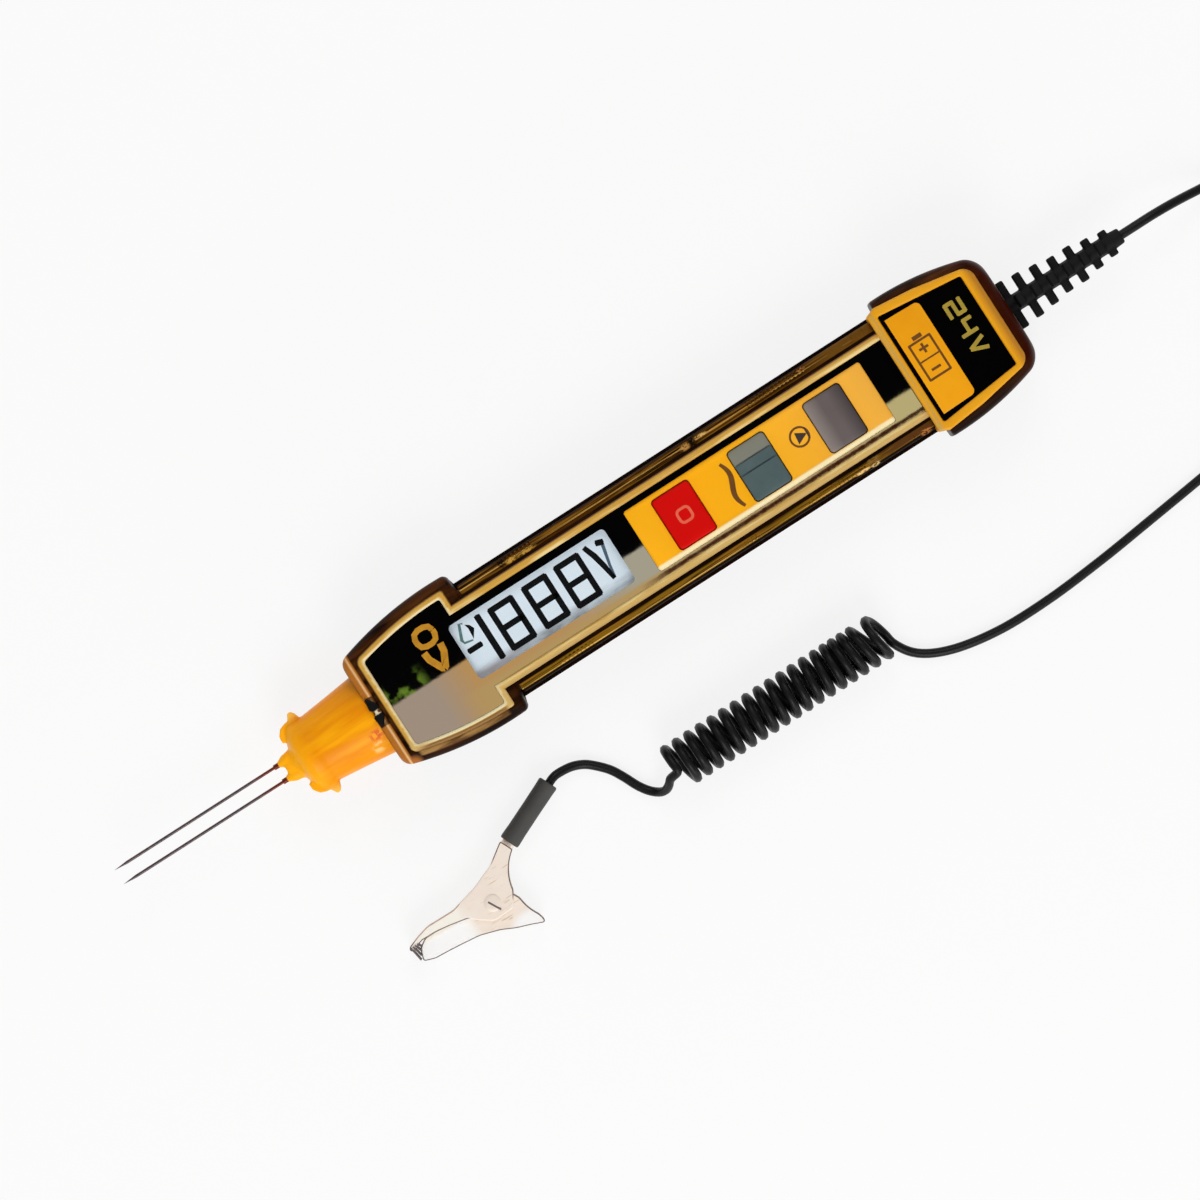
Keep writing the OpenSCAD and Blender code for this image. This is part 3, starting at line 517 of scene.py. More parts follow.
def whole_rings(x, half, low, high, r_low, r_high):
    """Whole cross-sections from low to high, whose corners are quarter circles: a corner's points are its
    middle + radius (cos a, sin a)."""
    x, half, low, high, r_low, r_high = stood(x, half, low, high, r_low, r_high)
    y_high = half - r_high + r_high * np.cos(QUARTER)
    z_high = high - r_high + r_high * np.sin(QUARTER)
    y_low = half - r_low + r_low * np.cos(QUARTER)
    z_low = low + r_low - r_low * np.sin(QUARTER)
    y = np.concatenate([y_high, -y_high[:, ::-1], -y_low, y_low[:, ::-1]], 1)
    z = np.concatenate([z_high, z_high[:, ::-1], z_low, z_low[:, ::-1]], 1)
    return np.stack([x + 0 * y, y, z], -1)


def oval_skin(name, x, half, high, count=48):
    """A surface over oval cross-sections about the height of the needles: y = half cos a, and z is high sin a
    above that height."""
    x, half, high = stood(x, half, high)
    a = np.linspace(0, 2 * np.pi, count, endpoint=False)
    return surface(name, np.stack([x + 0 * a, half * np.cos(a), SPLIT_Z + high * np.sin(a)], -1))


def stations(first, last, radii, counts):
    """Stations from first to last along X, and the inset at each. On a rounded end of radius r the inset is r
    (1 - sin a) where the station is r (1 - cos a) in from the end."""
    a = np.linspace(0, np.pi / 2, counts[0])
    b = np.linspace(0, np.pi / 2, counts[2])[1:]
    side = np.linspace(first + radii[0], last - radii[1], counts[1])[1:]
    x = np.concatenate([first + radii[0] * (1 - np.cos(a)), side, last - radii[1] + radii[1] * np.sin(b)])
    return x, np.concatenate([radii[0] * (1 - np.sin(a)), 0 * side, radii[1] * (1 - np.cos(b))])


bulge_x, bulge_inset = stations(BODY_X, STEP_X, (1.8, 1.2), (8, 26, 7))
bulge = bulge_half(bulge_x) - bulge_inset
print(len(bulge_x), "stations over the front bulge")

# %% The finish of the shells
# Dark maroon ABS, spark-eroded: nearly black at the sides. Light is painted on it: a brown highlight on top,
# more to the far side and brighter along the near top of the bulge, painted tan light on the front rim, and
# painted highlights at the rim's near corner and in a cream line along it.
shell_abs = moulded("body_moulded_abs", "#0c0200", "#1c0800", 14, (0.28, 0.42), 0.4, 0.003, 0.04)
near_top_highlight = product(along("Z", 17.92, 18.1), along("Y", -11, -12), band("X", -57, -37.6, 0.8))
tint(
    shell_abs,
    ("#5a3010", along("Z", 15.5, 18.2), along("Y", -26, 14), patches(2.2, 0.35, 0.65, 7)),
    ("#380c00", along("X", 90, 96)),
    ("#b4702a", along("X", -59.5, -59.8), along("X", -61.72, -61.6)),
    ("#664420", near_top_highlight),
    ("#a07a44", near_top_highlight, patches(1.6, 0.4, 0.6, 5)),
    ("#a4642a", spot((-60.0, -13.4, 17.0), (2.6, 2.0, 4)), along("X", -61.72, -61.6)),
    ("#e2b47c", along("X", -59.9, -60.1), along("X", -60.6, -60.3)),
)
print(shell_abs.name, "has", len(shell_abs.node_tree.nodes), "nodes")


# %% Turned pieces, and cutting
def turned(name, start, direction, profile, count=32, loop=False):
    """A turned piece: each step of profile is (distance along the axis, radius), and its ring is that radius
    times (cos a, sin a), square to the axis. A hollow one's profile is a loop, so its last ring joins its
    first."""
    axis = Vector(direction).normalized()
    side = np.array(axis.orthogonal().normalized())
    a = np.linspace(0, 2 * np.pi, count, endpoint=False)[:, None]
    ring = np.cos(a) * side + np.sin(a) * np.cross(np.array(axis), side)
    steps = np.array(profile, float)
    grid = np.array(start, float) + steps[:, None, :1] * np.array(axis) + steps[:, None, 1:] * ring[None]
    return surface(name, grid, loop)


def modified(piece, steps, angle=35):
    """The piece with modifiers turned into plain mesh. Each step is a kind of modifier and its settings."""
    for kind, settings in steps:
        step = piece.modifiers.new(kind, kind)
        for name, value in settings.items():
            setattr(step, name, value)
    bpy.context.view_layer.update()
    graph = bpy.context.evaluated_depsgraph_get()
    mesh = bpy.data.meshes.new_from_object(piece.evaluated_get(graph))
    piece.modifiers.clear()
    piece.data = mesh
    shade(mesh, angle)
    return piece


def carve(piece, tools):
    """Cuts the tools out of the piece and removes them."""
    cut = {"operation": "DIFFERENCE", "solver": "EXACT"}
    modified(piece, [("BOOLEAN", {"object": tool, **cut}) for tool in tools])
    for tool in tools:
        bpy.data.objects.remove(tool)


# %% Lower shell
def nose_hole():
    """The opening for the nose, which goes through the front of both shells."""
    return oval_skin("nose_hole", [BODY_X - 1, BODY_X + 3.2], 7.65, 4.95)


lower_shell = half_skin(
    "body_lower_shell",
    (bulge_x, bulge, SPLIT_Z, bulge_inset, 3.2),
    ([STEP_X + 0.4, CAP_X - 0.6], WAIST_HALF, SPLIT_Z, 0.8, 3.2),
    ([CAP_X - 0.4, CAP_X - 0.3], WAIST_HALF - 0.25, SPLIT_Z, 1.05, 3.0),
    ([CAP_X - 0.1, CAP_X + 3], 12.6, SPLIT_Z, 1.9, 1.0),
)
room_x = np.linspace(BODY_X + WALL, STEP_X - 2.2, 16)
lower_room = half_skin(
    "lower_room",
    (room_x, bulge_half(room_x) - WALL, SPLIT_Z + 2, WALL, 1.0),
    ([STEP_X - 1.8, CAP_X - 2], WAIST_HALF - WALL, SPLIT_Z + 2, 0.8 + WALL, 1.0),
    ([CAP_X - 1.6, CAP_X + 4], 12.0 - WALL, SPLIT_Z + 2, 1.9 + WALL, 1.0),
    lip=0,
)
screw_holes = [
    turned("screw_hole", (x, y, -1), (0, 0, 1), [(0, 2.1), (z + 3, 2.1)])
    for x, y, z in ((-45.75, 11.8, 0), (-45.75, -11.8, 0), (66.75, 0, 0.8))
]
carve(lower_shell, [lower_room, nose_hole()] + screw_holes)
dress(lower_shell, shell_abs, "shell", "lower_shell")

# %% Upper shell
upper_shell = half_skin(
    "body_upper_shell",
    (bulge_x, bulge, SPLIT_Z, SHELL_TOP - bulge_inset, 2.6),
    ([STEP_X + 0.4, STEP_X + 0.6], CORE_HALF, [SPLIT_Z, SPLIT_Z - 1.2], 17.3, 1.15),
    ([CAP_X - 2.4, CAP_X - 2.2, CAP_X - 0.4], CORE_HALF, [8.3, 9.5, 9.5], 17.3, 1.15),
    ([CAP_X - 0.1, CAP_X + 3], 12.0, SPLIT_Z, 17.2, 1.0),
)
upper_room = half_skin(
    "upper_room",
    (room_x, bulge_half(room_x) - WALL, SPLIT_Z - 2, 15.0, 1.0),
    ([STEP_X - 1.8, CAP_X - 2], CORE_HALF - WALL, SPLIT_Z - 2, 15.0, 1.0),
    ([CAP_X - 1.6, CAP_X + 4], 12.0 - WALL, SPLIT_Z - 2, 15.0, 1.0),
    lip=0,
)


def arc(centre, radius, start, end, count):
    """Points of a circle's arc: centre + radius (cos a, sin a), a from start to end degrees."""
    a = np.radians(np.linspace(start, end, count + 1))
    return np.array(centre) + radius * np.stack([np.cos(a), np.sin(a)], -1)


def mirrored(half):
    """A half outline with y above 0, and its mirror image, as one closed outline."""
    return np.vstack([half, half[::-1] * [1, -1]])


def face_half(inset, half, corner_r, rear_x):
    """Half outline of the face at an inset from the bulge: a round front corner, along the bulge, round the
    shoulder at the step, then straight back at half the face's width."""
    front = BODY_X + 0.6 + inset
    shoulder = STEP_X + 0.1 - inset
    corner = np.array([front + corner_r, bulge_half(front + corner_r) - inset - corner_r])
    top = np.array([shoulder - 0.6, bulge_half(shoulder) - inset - 0.6])
    x = np.linspace(corner[0], top[0], 14)[1:-1]
    return np.vstack([
        arc(corner, corner_r, 180, 96, 8), np.stack([x, bulge_half(x) - inset], -1), arc(top, 0.6, 90, 0, 6),
        [[shoulder, half], [rear_x, half]],
    ])


carve(upper_shell, [
    upper_room,
    plate("recess", mirrored(face_half(2.3, 10.45, 1.9, END_X)), [(0, 16.4), (0, 19.4)]),
    block("display_well", (-41.2, -7.9, 13), (2.7, 7.9, 17)),
    block("plate_well", (6.5, -6.6, 13), (63, 6.6, 17)),
    block("latch_slot", (BODY_X - 1, -3.5, 17.2), (BODY_X + 2.35, 3.5, 20.2)),
    nose_hole(),
])
dress(upper_shell, shell_abs, "shell", "upper_shell")

# %% [markdown]
# ## Grips, gold frame and gloss face
#
# A softer brown-gold strip lies along each side of the waist. It is round outside, follows the shell inside,
# and has groups of fine cross ribs for the fingers. The ribs could be a bump in its material, but they show
# at the outline, so they are in the mesh. The frame round the face is one sprayed gold moulding. Its section,
# with a broken edge on both sides, is carried round the face, which keeps its width even at the corners.

# %% The finish of the grips
# Soft dark rubber under a gold-brown skin with fine lengthwise lines along the crest. Light is painted on the
# crest: lighter there than on the sides, lighter on the near side, with a thin painted highlight line.
grip_tpr = moulded("grip_moulded_rubber", "#180c02", "#0e0602", 9, (0.4, 0.56), 0.5, 0.01, 0.01)
# Of each side: where the crest lies, where its painted highlight line lies, and the crest's brown, lighter on
# the near side as painted light
for low, high, line, brown in ((11.2, 12.9, 11.9, "#4c2a06"), (-12.5, -11.4, -12.5, "#7a5810")):
    crest = band("Y", low, high, 0.2)
    tint(
        grip_tpr,
        (brown, crest, patches(0.9, 0.32, 0.52, 26)),
        ("#8a5c18", crest, patches(0.42, 0.5, 0.62, 40)),
        ("#140a02", crest, patches(0.3, 0.54, 0.66, 30)),
        ("#e2b25c", band("Y", line, line + 0.12, 0.14), patches(0.5, 0.46, 0.54, 50, 0.3, 0.3)),
    )
# Towards the cap the lines are rubbed away to a plain brown, which is redder on the near side
tint(
    grip_tpr,
    ("#704a16", along("X", 52, 60), band("Y", 11.0, 13.1, 0.3), patches(0.8, 0.2, 0.4, 6)),
    ("#563414", along("X", 56, 60), band("Y", -12.4, -11.0, 0.3), patches(0.8, 0.2, 0.4, 6)),
)
# Painted highlights and shade on the ribs: x and y of the middle, the half axes in X and Y, and the colour
RIB_HIGHLIGHTS_AND_SHADE = (
    (-19.7, 11.7, 1.6, 0.8, "#d8a444"), (-16.0, 11.5, 2.8, 0.6, "#c8963c"),
    (-21.8, 12.2, 1.1, 1.7, "#120802"),
    (23.9, 11.9, 1.6, 0.9, "#c8924a"), (27.6, 12.2, 2.0, 0.5, "#ecc070"), (25.6, 12.0, 1.2, 1.8, "#0c0602"),
    (53.0, 12.5, 1.2, 0.5, "#b8783c"), (52.6, -12.6, 2.2, 0.4, "#f4c880"), (55.6, -12.7, 1.3, 0.5, "#f0c888"),
    (55.6, -11.7, 1.8, 1.0, "#7c5c2c"), (68.2, -12.6, 1.6, 0.8, "#b4743c"),
)
for x, y, half_x, half_y, hex_code in RIB_HIGHLIGHTS_AND_SHADE:
    tint(grip_tpr, (hex_code, spot((x, y, 16), (half_x, half_y, 8)), patches(0.45, 0.4, 0.52, 1.6)))
print(len(RIB_HIGHLIGHTS_AND_SHADE), "painted_rib_lights_and_shades on the grips")

# %% Side grips
GRIP_MIDDLE, GRIP_R = (10.65, 15.2), 2.6
RIB_DEPTH = 0.22
# Where each group of ribs begins behind the step, and how many there are, 1 mm apart
RIB_GROUPS = ((11, 8), (57, 3), (73, 14), (99, 3))


def unit(vectors):
    """Each row at a length of 1."""
    return vectors / np.linalg.norm(vectors, axis=1, keepdims=True)


def grip_surface(name, side):
    """A section of the grip at each station: up its outside face, round its shoulder and back down along the
    shell. On the shoulder, at the groups of ribs, a wave along X sinks it between one rib and the next, and
    the outside draws in at both ends."""
    first, last = STEP_X + 0.7, CAP_X - 2.1
    x = np.linspace(first, last, 620)
    foot = [[13.1, SPLIT_Z + 0.05], [13.25, SPLIT_Z + 0.2]]
    shoulder = arc(GRIP_MIDDLE, GRIP_R, 0, 80, 16)
    inside = arc((CORE_HALF - 1.15, 17.3 - 1.15), 1.22, 90, 0, 8)
    section = np.vstack([foot, shoulder, inside, [[12.37, SPLIT_Z + 0.05]]])
    away = unit(section - GRIP_MIDDLE)
    tilt = np.degrees(np.arctan2(away[:, 1], away[:, 0]))
    outside = np.arange(len(section)) < len(foot) + len(shoulder)
    on_shoulder = outside * np.exp(-(((tilt - 45) / 24) ** 4))
    ribs = sum(np.abs(x - (STEP_X + start + (count - 1) / 2)) < count / 2 for start, count in RIB_GROUPS)
    ends = np.minimum(1, np.minimum(x - first, last - x) / 0.5)
    wave = -RIB_DEPTH * (0.5 - 0.5 * np.cos(2 * np.pi * (x - STEP_X))) * ribs
    lift = wave[:, None] * on_shoulder - 0.25 * (1 - ends[:, None]) ** 2 * outside
    yz = section + lift[..., None] * away
    return surface(name, np.stack([x[:, None] + 0 * lift, side * yz[..., 0], yz[..., 1]], -1), angle=50)


for side, word in ((1, "left"), (-1, "right")):
    dress(grip_surface("grip_" + word, side), grip_tpr, "grip", "side_grip_" + word)

# %% Gold frame round the face
# ABS sprayed with a gold lacquer: a warm yellow body colour with a clear, slightly waxy top coat. Light is
# painted on it: lighter on the near side, a cream highlight along the inner edge, painted shade along the
# outer edge except on the near side, and on the near side of the bulge a cream highlight beside a brown shade
# line.
gold_lacquer = moulded("sprayed_gold_lacquer", "#c89530", "#d4a442", 16, (0.26, 0.34), 1.5, 0.001, 0.3)
near_bulge = product(along("Y", -11.0, -11.8), along("X", -36.4, -37.4))
tint(
    gold_lacquer,
    ("#d2ae66", along("Y", -8.0, -10.0)),
    ("#ecd08a", across(0.4, 0.7), patches(1.4, 0.44, 0.6, 9)),
    ("#f2dcaa", across(0.6, 0.84), along("X", -35, -37)),
    ("#6c4210", across(0.24, 0.08), along("Y", -10.6, -9.6)),
    ("#8c6228", across(0.6, 0.46), near_bulge, patches(2, 0.2, 0.4, 5)),
    ("#fbf0c0", across(0.52, 0.7), near_bulge),
)
# The section, as shares of the frame's width and heights
FRAME_SECTION = np.array([
    [0.0, 16.45], [0.0, 18.4], [0.03, 18.5], [0.2, 18.76], [0.25, 18.8], [0.72, 18.8], [0.77, 18.77],
    [0.97, 18.47], [1.0, 18.35], [1.0, 16.45],
])


def frame_path(s):
    """The open line of the frame at a share of its width: 0 is its outer edge, 1 its inner one, and each
    inset goes evenly from one to the other."""
    half = face_half(2.35 + 1.55 * s, 10.4 - 1.65 * s, 1.9 - 0.9 * s, CAP_X - 0.1)
    return np.vstack([half[::-1] * [1, -1], [[half[0, 0], 0.0]], half])


frame_lines = np.stack([np.insert(frame_path(s), 2, z, axis=1) for s, z in FRAME_SECTION], 1)
shares = np.tile(FRAME_SECTION[:, 0], len(frame_lines))
face_frame = surface("face_frame", frame_lines, angle=40, across=shares)
dress(face_frame, gold_lacquer, "gold_frame", "face_bezel")


# %% The face sheet and the display window
def paint(node_name, material):
    """A CAD node that is shown as it is gets its material here. Its mesh stays as it came."""
    node = nodes[node_name]
    node.data.materials.clear()
    node.data.materials.append(material)


# Clear acrylic printed black on its back: a mirror gloss with hardly any grain
face_acrylic = moulded("face_gloss_acrylic", "#030304", "#050506", 20, (0.0, 0.012), 2.0, 0.0001)
# The same acrylic left clear, with a matt coat against glare
window_acrylic = moulded("window_clear_acrylic", "#101416", "#181c20", 20, (0.08, 0.12), 2.0, 0.0002, 0.02,
                         Alpha=0.04)
paint("face_panel", face_acrylic)
paint("display_window", window_acrylic)
print("face and window painted")

# %% [markdown]
# ## The number display
#
# A liquid crystal display is two sheets of glass over a white light guide. Its dark parts are segments: short
# bars with pointed ends, seven for each number. A picture could show them, but thin films of ink stay sharp
# from near and far. They lie just on the glass, under the clear window.


# %% Flat marks: bars, ribbons and their printing
def bar(start, end, width):
    """A six-cornered bar from start to end. Its sides are width apart. Its ends are blunt points, which reach
    0.4 of the width past start and end, so that bars that meet at a corner run together."""
    start, end = np.array(start, float), np.array(end, float)
    ahead = (end - start) / np.linalg.norm(end - start) * width
    aside = np.array([-ahead[1], ahead[0]]) / 2
    start, end = start - 0.4 * ahead, end + 0.4 * ahead
    tip = 0.15 * ahead
    upper = [start, start + tip + aside, end - tip + aside]
    return np.array(upper + [end, end - tip - aside, start + tip - aside])


def ribbon(points, width):
    """The outline of a line of that width: each point moved to both sides, square to the line."""
    points = np.array(points, float)
    ahead = unit(np.gradient(points, axis=0))
    aside = np.stack([-ahead[:, 1], ahead[:, 0]], -1) * np.reshape(width, (-1, 1)) / 2
    return np.vstack([points + aside, (points - aside)[::-1]])


def round_box(centre, size, radius, count=8):
    """A rectangle whose four corners are quarter circles."""
    half = np.array(size) / 2 - radius
    corners = (((1, 1), 0), ((-1, 1), 90), ((-1, -1), 180), ((1, -1), 270))
    return np.vstack([arc(np.array(centre) + half * side, radius, a, a + 90, count) for side, a in corners])


def closed(outline):
    """The outline as a line that comes back to its first point."""
    return np.vstack([outline, outline[:1]])


def gather(name, pieces, angle=35):
    """One object from several, each still a closed shell of its own."""
    work = bmesh.new()
    for piece in pieces:
        work.from_mesh(piece.data)
        bpy.data.objects.remove(piece)
    return linked(name, work, bpy.data.meshes.new(name), angle)


def print_on(name, shapes, height, material, slot, body="tester", rise=0.03):
    """Each flat shape as a film of ink, rise millimetres thick, on a surface at that height. Tops differ a
    little in height, so that no two that cross lie in one plane."""
    tops = [height + rise + 0.002 * (i % 4) for i in range(len(shapes))]
    films = [plate("film", shape, [(0, height), (0, top)]) for shape, top in zip(shapes, tops)]
    dress(gather(name, films), material, slot, body=body)


SEGMENTS = {"a": (0, 1, 1, 1), "b": (1, 1, 1, 0.5), "c": (1, 0.5, 1, 0), "d": (0, 0, 1, 0),
            "e": (0, 0.5, 0, 0), "f": (0, 1, 0, 0.5), "g": (0, 0.5, 1, 0.5)}
NUMERALS = {"1": "bc", "2": "abged", "4": "fgbc", "8": "abcdefg"}


def number_bars(numeral, corner, size, width):
    """The bars of one numeral: each segment's ends, as shares of the numeral's box, put at its corner."""
    ends = [np.array(SEGMENTS[s], float).reshape(2, 2) * size + corner for s in NUMERALS[numeral]]
    return [bar(a, b, width) for a, b in ends]


print(len(SEGMENTS), "segments make", len(NUMERALS), "numerals")

# %% Display
# A polished glass over a white guide: bluish white, glowing faintly by itself
lcd_glass = moulded("display_glass_lit", "#cfe0ee", "#e6f0f6", 12, (0.2, 0.3), 3.0, 0.001, 0.2,
                    Emission_Color=colour("#d4e6f4"), Emission_Strength=0.2)
# Painted shade: greyer towards the near edge, most at its left end
tint(
    lcd_glass,
    ("#7c7a7c", along("Y", -3.2, -5.6), patches(2.0, 0.4, 0.62, 4)),
    ("#9c9092", along("Y", -3.8, -5.2), along("X", -22, -35)),
)
paint("display_glass", lcd_glass)
# Liquid crystal, switched on and half on, and a greenish printed sign
lcd_dark = moulded("display_segment_black", "#020305", "#080c12", 8, (0.4, 0.5), 1.0, 0.001, 0.1)
lcd_blue = moulded("display_segment_blue", "#35536e", "#4a6a84", 5, (0.3, 0.4), 1.0, 0.001)
lcd_teal = moulded("display_segment_teal", "#2f5f62", "#7aa6a8", 1.2, (0.3, 0.4), 1.0, 0.001)
digits = []
for left in (-29.1, -20.7, -12.7):
    digits += number_bars("8", (left, -4.2), (5.0, 9.2), 1.3)
digits += number_bars("1", (-37.0, -4.4), (4.9, 9.8), 1.4)
digits += [
    bar((-37.3, 0.2), (-34.6, 0.2), 1.2),
    ribbon([(-5.5, 5.6), (-4.5, 2.8), (-3.9, 0), (-3.4, -3.3)], [1.1, 1.3, 1.2, 0.9]),
    bar((-2.6, 4.9), (-1.7, 4.6), 1.3),
]
stroke = ribbon([(-1.5, 5.2), (-2.2, 2.2), (-2.8, -0.4), (-3.2, -3.2)], [0.8, 0.7, 0.6, 0.5])
horn = ribbon([(-35.5, 5.9), (-36.2, 6.2), (-37.5, 3.0), (-37.3, 2.2), (-35.4, 1.8)],
              [0.4, 0.6, 0.7, 0.5, 0.35])
wedge = np.array([[-35.2, 1.9], [-33.9, 3.8], [-34.4, 4.9], [-35.3, 5.5], [-35.0, 4.4]])
GLASS_TOP = cad("display_glass", "highest", "Z")
for word, shapes, ink in (("digits", digits, lcd_dark), ("stroke", [stroke], lcd_blue),
                          ("horn_sign", [horn], lcd_teal), ("wedge_sign", [wedge], lcd_dark)):
    print_on("display_" + word, shapes, GLASS_TOP, ink, "lcd", rise=0.02)

# %% Yellow print on the face
# Screen-printed ink, a little raised and satin
print_yellow = moulded("screen_print_yellow", "#d89a24", "#a06c14", 1.5, specular=0.2)
volt_sign = [
    ribbon([(-45.6, 5.0), (-45.4, 3.2), (-43.9, 0.2), (-43.6, 0.1)], 1.5),
    ribbon([(-41.6, 5.0), (-41.8, 3.2), (-43.3, 0.2), (-43.6, 0.1)], 1.5),
    ribbon(closed(round_box((-43.6, 7.8), (4.3, 3.9), 1.5, 2)), 1.25),
]
FACE_TOP = cad("face_panel", "highest", "Z")
print_on("face_volt_sign", volt_sign, FACE_TOP, print_yellow, "yellow_plate")

# %% [markdown]
# ## Buttons on their yellow plate
#
# The plate is a printed yellow moulding with three openings. Its edges are chamfered, and the near one shines
# as a pale line. The buttons are firm silicone caps: flat sides and a top that swells a little to its middle.
# A bevelled box would leave that top flat, so each cap is a stack of outlines that draw in.


# %% Button plate
def middle(node):
    """The middle of a CAD node as it is seen from above, in millimetres."""
    low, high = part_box(node)
    return [round((low[i] + high[i]) / 2 / MM, 2) for i in (0, 1)]


BUTTON_X = [middle("button_" + word)[0] for word in ("red", "teal", "grey")]
BUTTON_SIZE = np.array([8.9, 12.0])
# Glossy yellow ABS, paler towards the cap, with a painted cream highlight along the near edge
plate_abs = moulded("button_plate_yellow_abs", "#ffae04", "#ffb81e", 18, (0.3, 0.42), 0.5, 0.002, 0.1)
tint(plate_abs, ("#f8b646", along("X", 34, 66)), ("#ffeebc", along("Y", -6.1, -6.5)))
PLATE_TOP = cad("button_plate", "highest", "Z")
plate_outline = round_box(middle("button_plate"), (58.7, 14.7), 0.6)
button_plate = plate("button_plate", plate_outline, [(0, 16.45), (0, 18.05), (0.12, 18.22), (0.4, PLATE_TOP)])
hole = [(0, 15), (0, 19)]
carve(button_plate, [plate("opening", round_box((x, 0), BUTTON_SIZE + 0.4, 0.9), hole) for x in BUTTON_X])
edge = {"width": 0.12 * MM, "segments": 2, "limit_method": "ANGLE", "angle_limit": math.radians(50),
        "miter_outer": "MITER_ARC", "use_clamp_overlap": True}
modified(button_plate, [("BEVEL", edge)])
dress(button_plate, plate_abs, "yellow_plate", "button_plate")

# %% Marks on the plate
# Brown screen print: a wave for alternating current, and a diode in a ring
print_brown = moulded("screen_print_brown", "#5c3611", "#7c4e1c", 2, specular=0.2)
print_dark = moulded("screen_print_dark", "#241a14", "#33261c", 3)
t = np.linspace(0, 2 * np.pi, 30)
wave_line = np.stack([27.9 + 0.75 * np.sin(t), 4.9 - 10.2 * t / (2 * np.pi)], -1)
wave = ribbon(wave_line, 0.65 + 0.55 * np.sin(t / 2))
ring = ribbon(arc((45.2, 0.7), 2.05, 0, 360, 36), 0.45)
diode = [np.array([[44.3, -0.6], [46.9, 0.6], [44.6, 2.0]]), ribbon([(46.9, -0.7), (47.0, 1.9)], 0.35)]
marks = {"wave": ([wave], print_brown), "ring": ([ring], print_brown), "diode": (diode, print_dark)}
for word, (shapes, ink) in marks.items():
    print_on("plate_" + word + "_sign", shapes, PLATE_TOP, ink, "yellow_plate")


# %% Buttons
def button(name, x):
    """A button cap: rings of its round-cornered outline, drawn in step by step while the top swells."""
    profile = [(-0.42, 15.45), (-0.42, 16.35), (0, 16.35), (0, 18.5), (0.05, 18.7), (0.16, 18.82),
               (0.4, 18.9), (1.0, 18.95), (2.0, 18.985), (3.1, 19.0), (4.2, 19.0)]
    cap = plate("cap", round_box((x, 0), BUTTON_SIZE, 0.8), profile, angle=40)
    stem = turned("stem", (x, 0, 15.22), (0, 0, 1), [(0, 2), (0.28, 2)])
    return gather(name, [cap, stem], 40)


# Silicone rubber: satin, with a faint bloom of dust from handling
red_silicone = moulded("button_silicone_red", "#cc0200", "#dc0600", 6, (0.4, 0.55), 0.4, 0.003, 0.08)
teal_silicone = moulded("button_silicone_teal", "#425458", "#586868", 5, (0.4, 0.55), 0.4, 0.003, 0.15)
grey_silicone = moulded("button_silicone_grey", "#625856", "#6c6262", 6, (0.4, 0.55), 0.4, 0.003, 0.15)
# Painted reflection: a paler band over the far part of the teal cap. Painted light and shade on the grey cap:
# lighter at its front end and darker at its rear end
tint(teal_silicone, ("#808074", along("Y", 2.5, 2.9)))
tint(grey_silicone, ("#918680", along("X", 52.5, 48.8)), ("#463e40", along("X", 54.5, 58.0)))
# Pale red ink on the red cap, redder where it is thin
print_red = moulded("screen_print_pale_red", "#ec6a4a", "#e05238", 2)
for x, word, silicone in zip(BUTTON_X, ("red", "teal", "grey"), (red_silicone, teal_silicone, grey_silicone)):
    cap = button("button_" + word + "_cap", x)
    if word == "teal":
        carve(cap, [block("groove", (29, y - 0.18, 18.7), (41, y + 0.18, 19.5)) for y in (2.7, 0.2)])
    dress(cap, silicone, word + "_button", "button_" + word, body=word + "_button")
square = ribbon(closed(round_box((BUTTON_X[0] + 0.2, 0), (2.9, 2.9), 0.9)), 0.6)
RED_SIGN_Z = 18.985
print_on("button_red_sign", [square], RED_SIGN_Z, print_red, "red_button", "red_button")

# %% [markdown]
# ## End cap
#
# The rear of the body slides into a cup of the same dark ABS, which also holds the two cells. On its top lies
# a gold frame round a gloss black inlay, and an orange plate on that. One outline drawn inwards could give
# the frame, but its outer and inner outlines have different corners. So its section runs between the points
# where rays from the middle cross both.

# %% End cap
cap_x, cap_inset = stations(CAP_X, END_X, (0.6, 3.5), (6, 16, 12))
CUP_TOP = 20.2
cup = whole_rings(cap_x, cap_half(cap_x) - cap_inset, cap_inset, CUP_TOP - cap_inset, 3.2, 3.4)
end_cap = surface("end_cap_cup", cup)
room_x = np.linspace(CAP_X - 1, END_X - WALL, 12)
room_half = cap_half(room_x) - WALL - 0.25 * np.maximum((room_x - CAP_X) / 4 - 4, 0) ** 2


def cap_frame_line(grow=0.0):
    """The outer outline of the cap's frame, moved outwards by grow: along the mouth, along the cap's side and
    round an arc of 3 mm at the rear."""
    return mirrored(np.vstack([
        [[70.4 - grow, 14.25 + grow], [72.55, cap_half(CAP_X) - 1.55 + grow],
         [81.45, cap_half(81.45) - 2.1 + grow]],
        arc((91.35, cap_half(91.35) - 5.1), 3 + grow, 78, 10, 12),
    ]))


carve(end_cap, [
    surface("cap_room", whole_rings(room_x, room_half, WALL, 17.35, 1.6, 1.6)),
    plate("cap_recess", cap_frame_line(0.05), [(0, 18.75), (0, 22)]),
    plate("door_opening", round_box((84.05, 0), (13.8, 25.0), 1.0), [(0, -1), (0, 2.6)]),
    turned("lead_opening", (END_X - 3.2, 0, SPLIT_Z), (1, 0, 0), [(0, 2.25), (5, 2.25)]),
])
dress(end_cap, shell_abs, "shell", "end_cap")


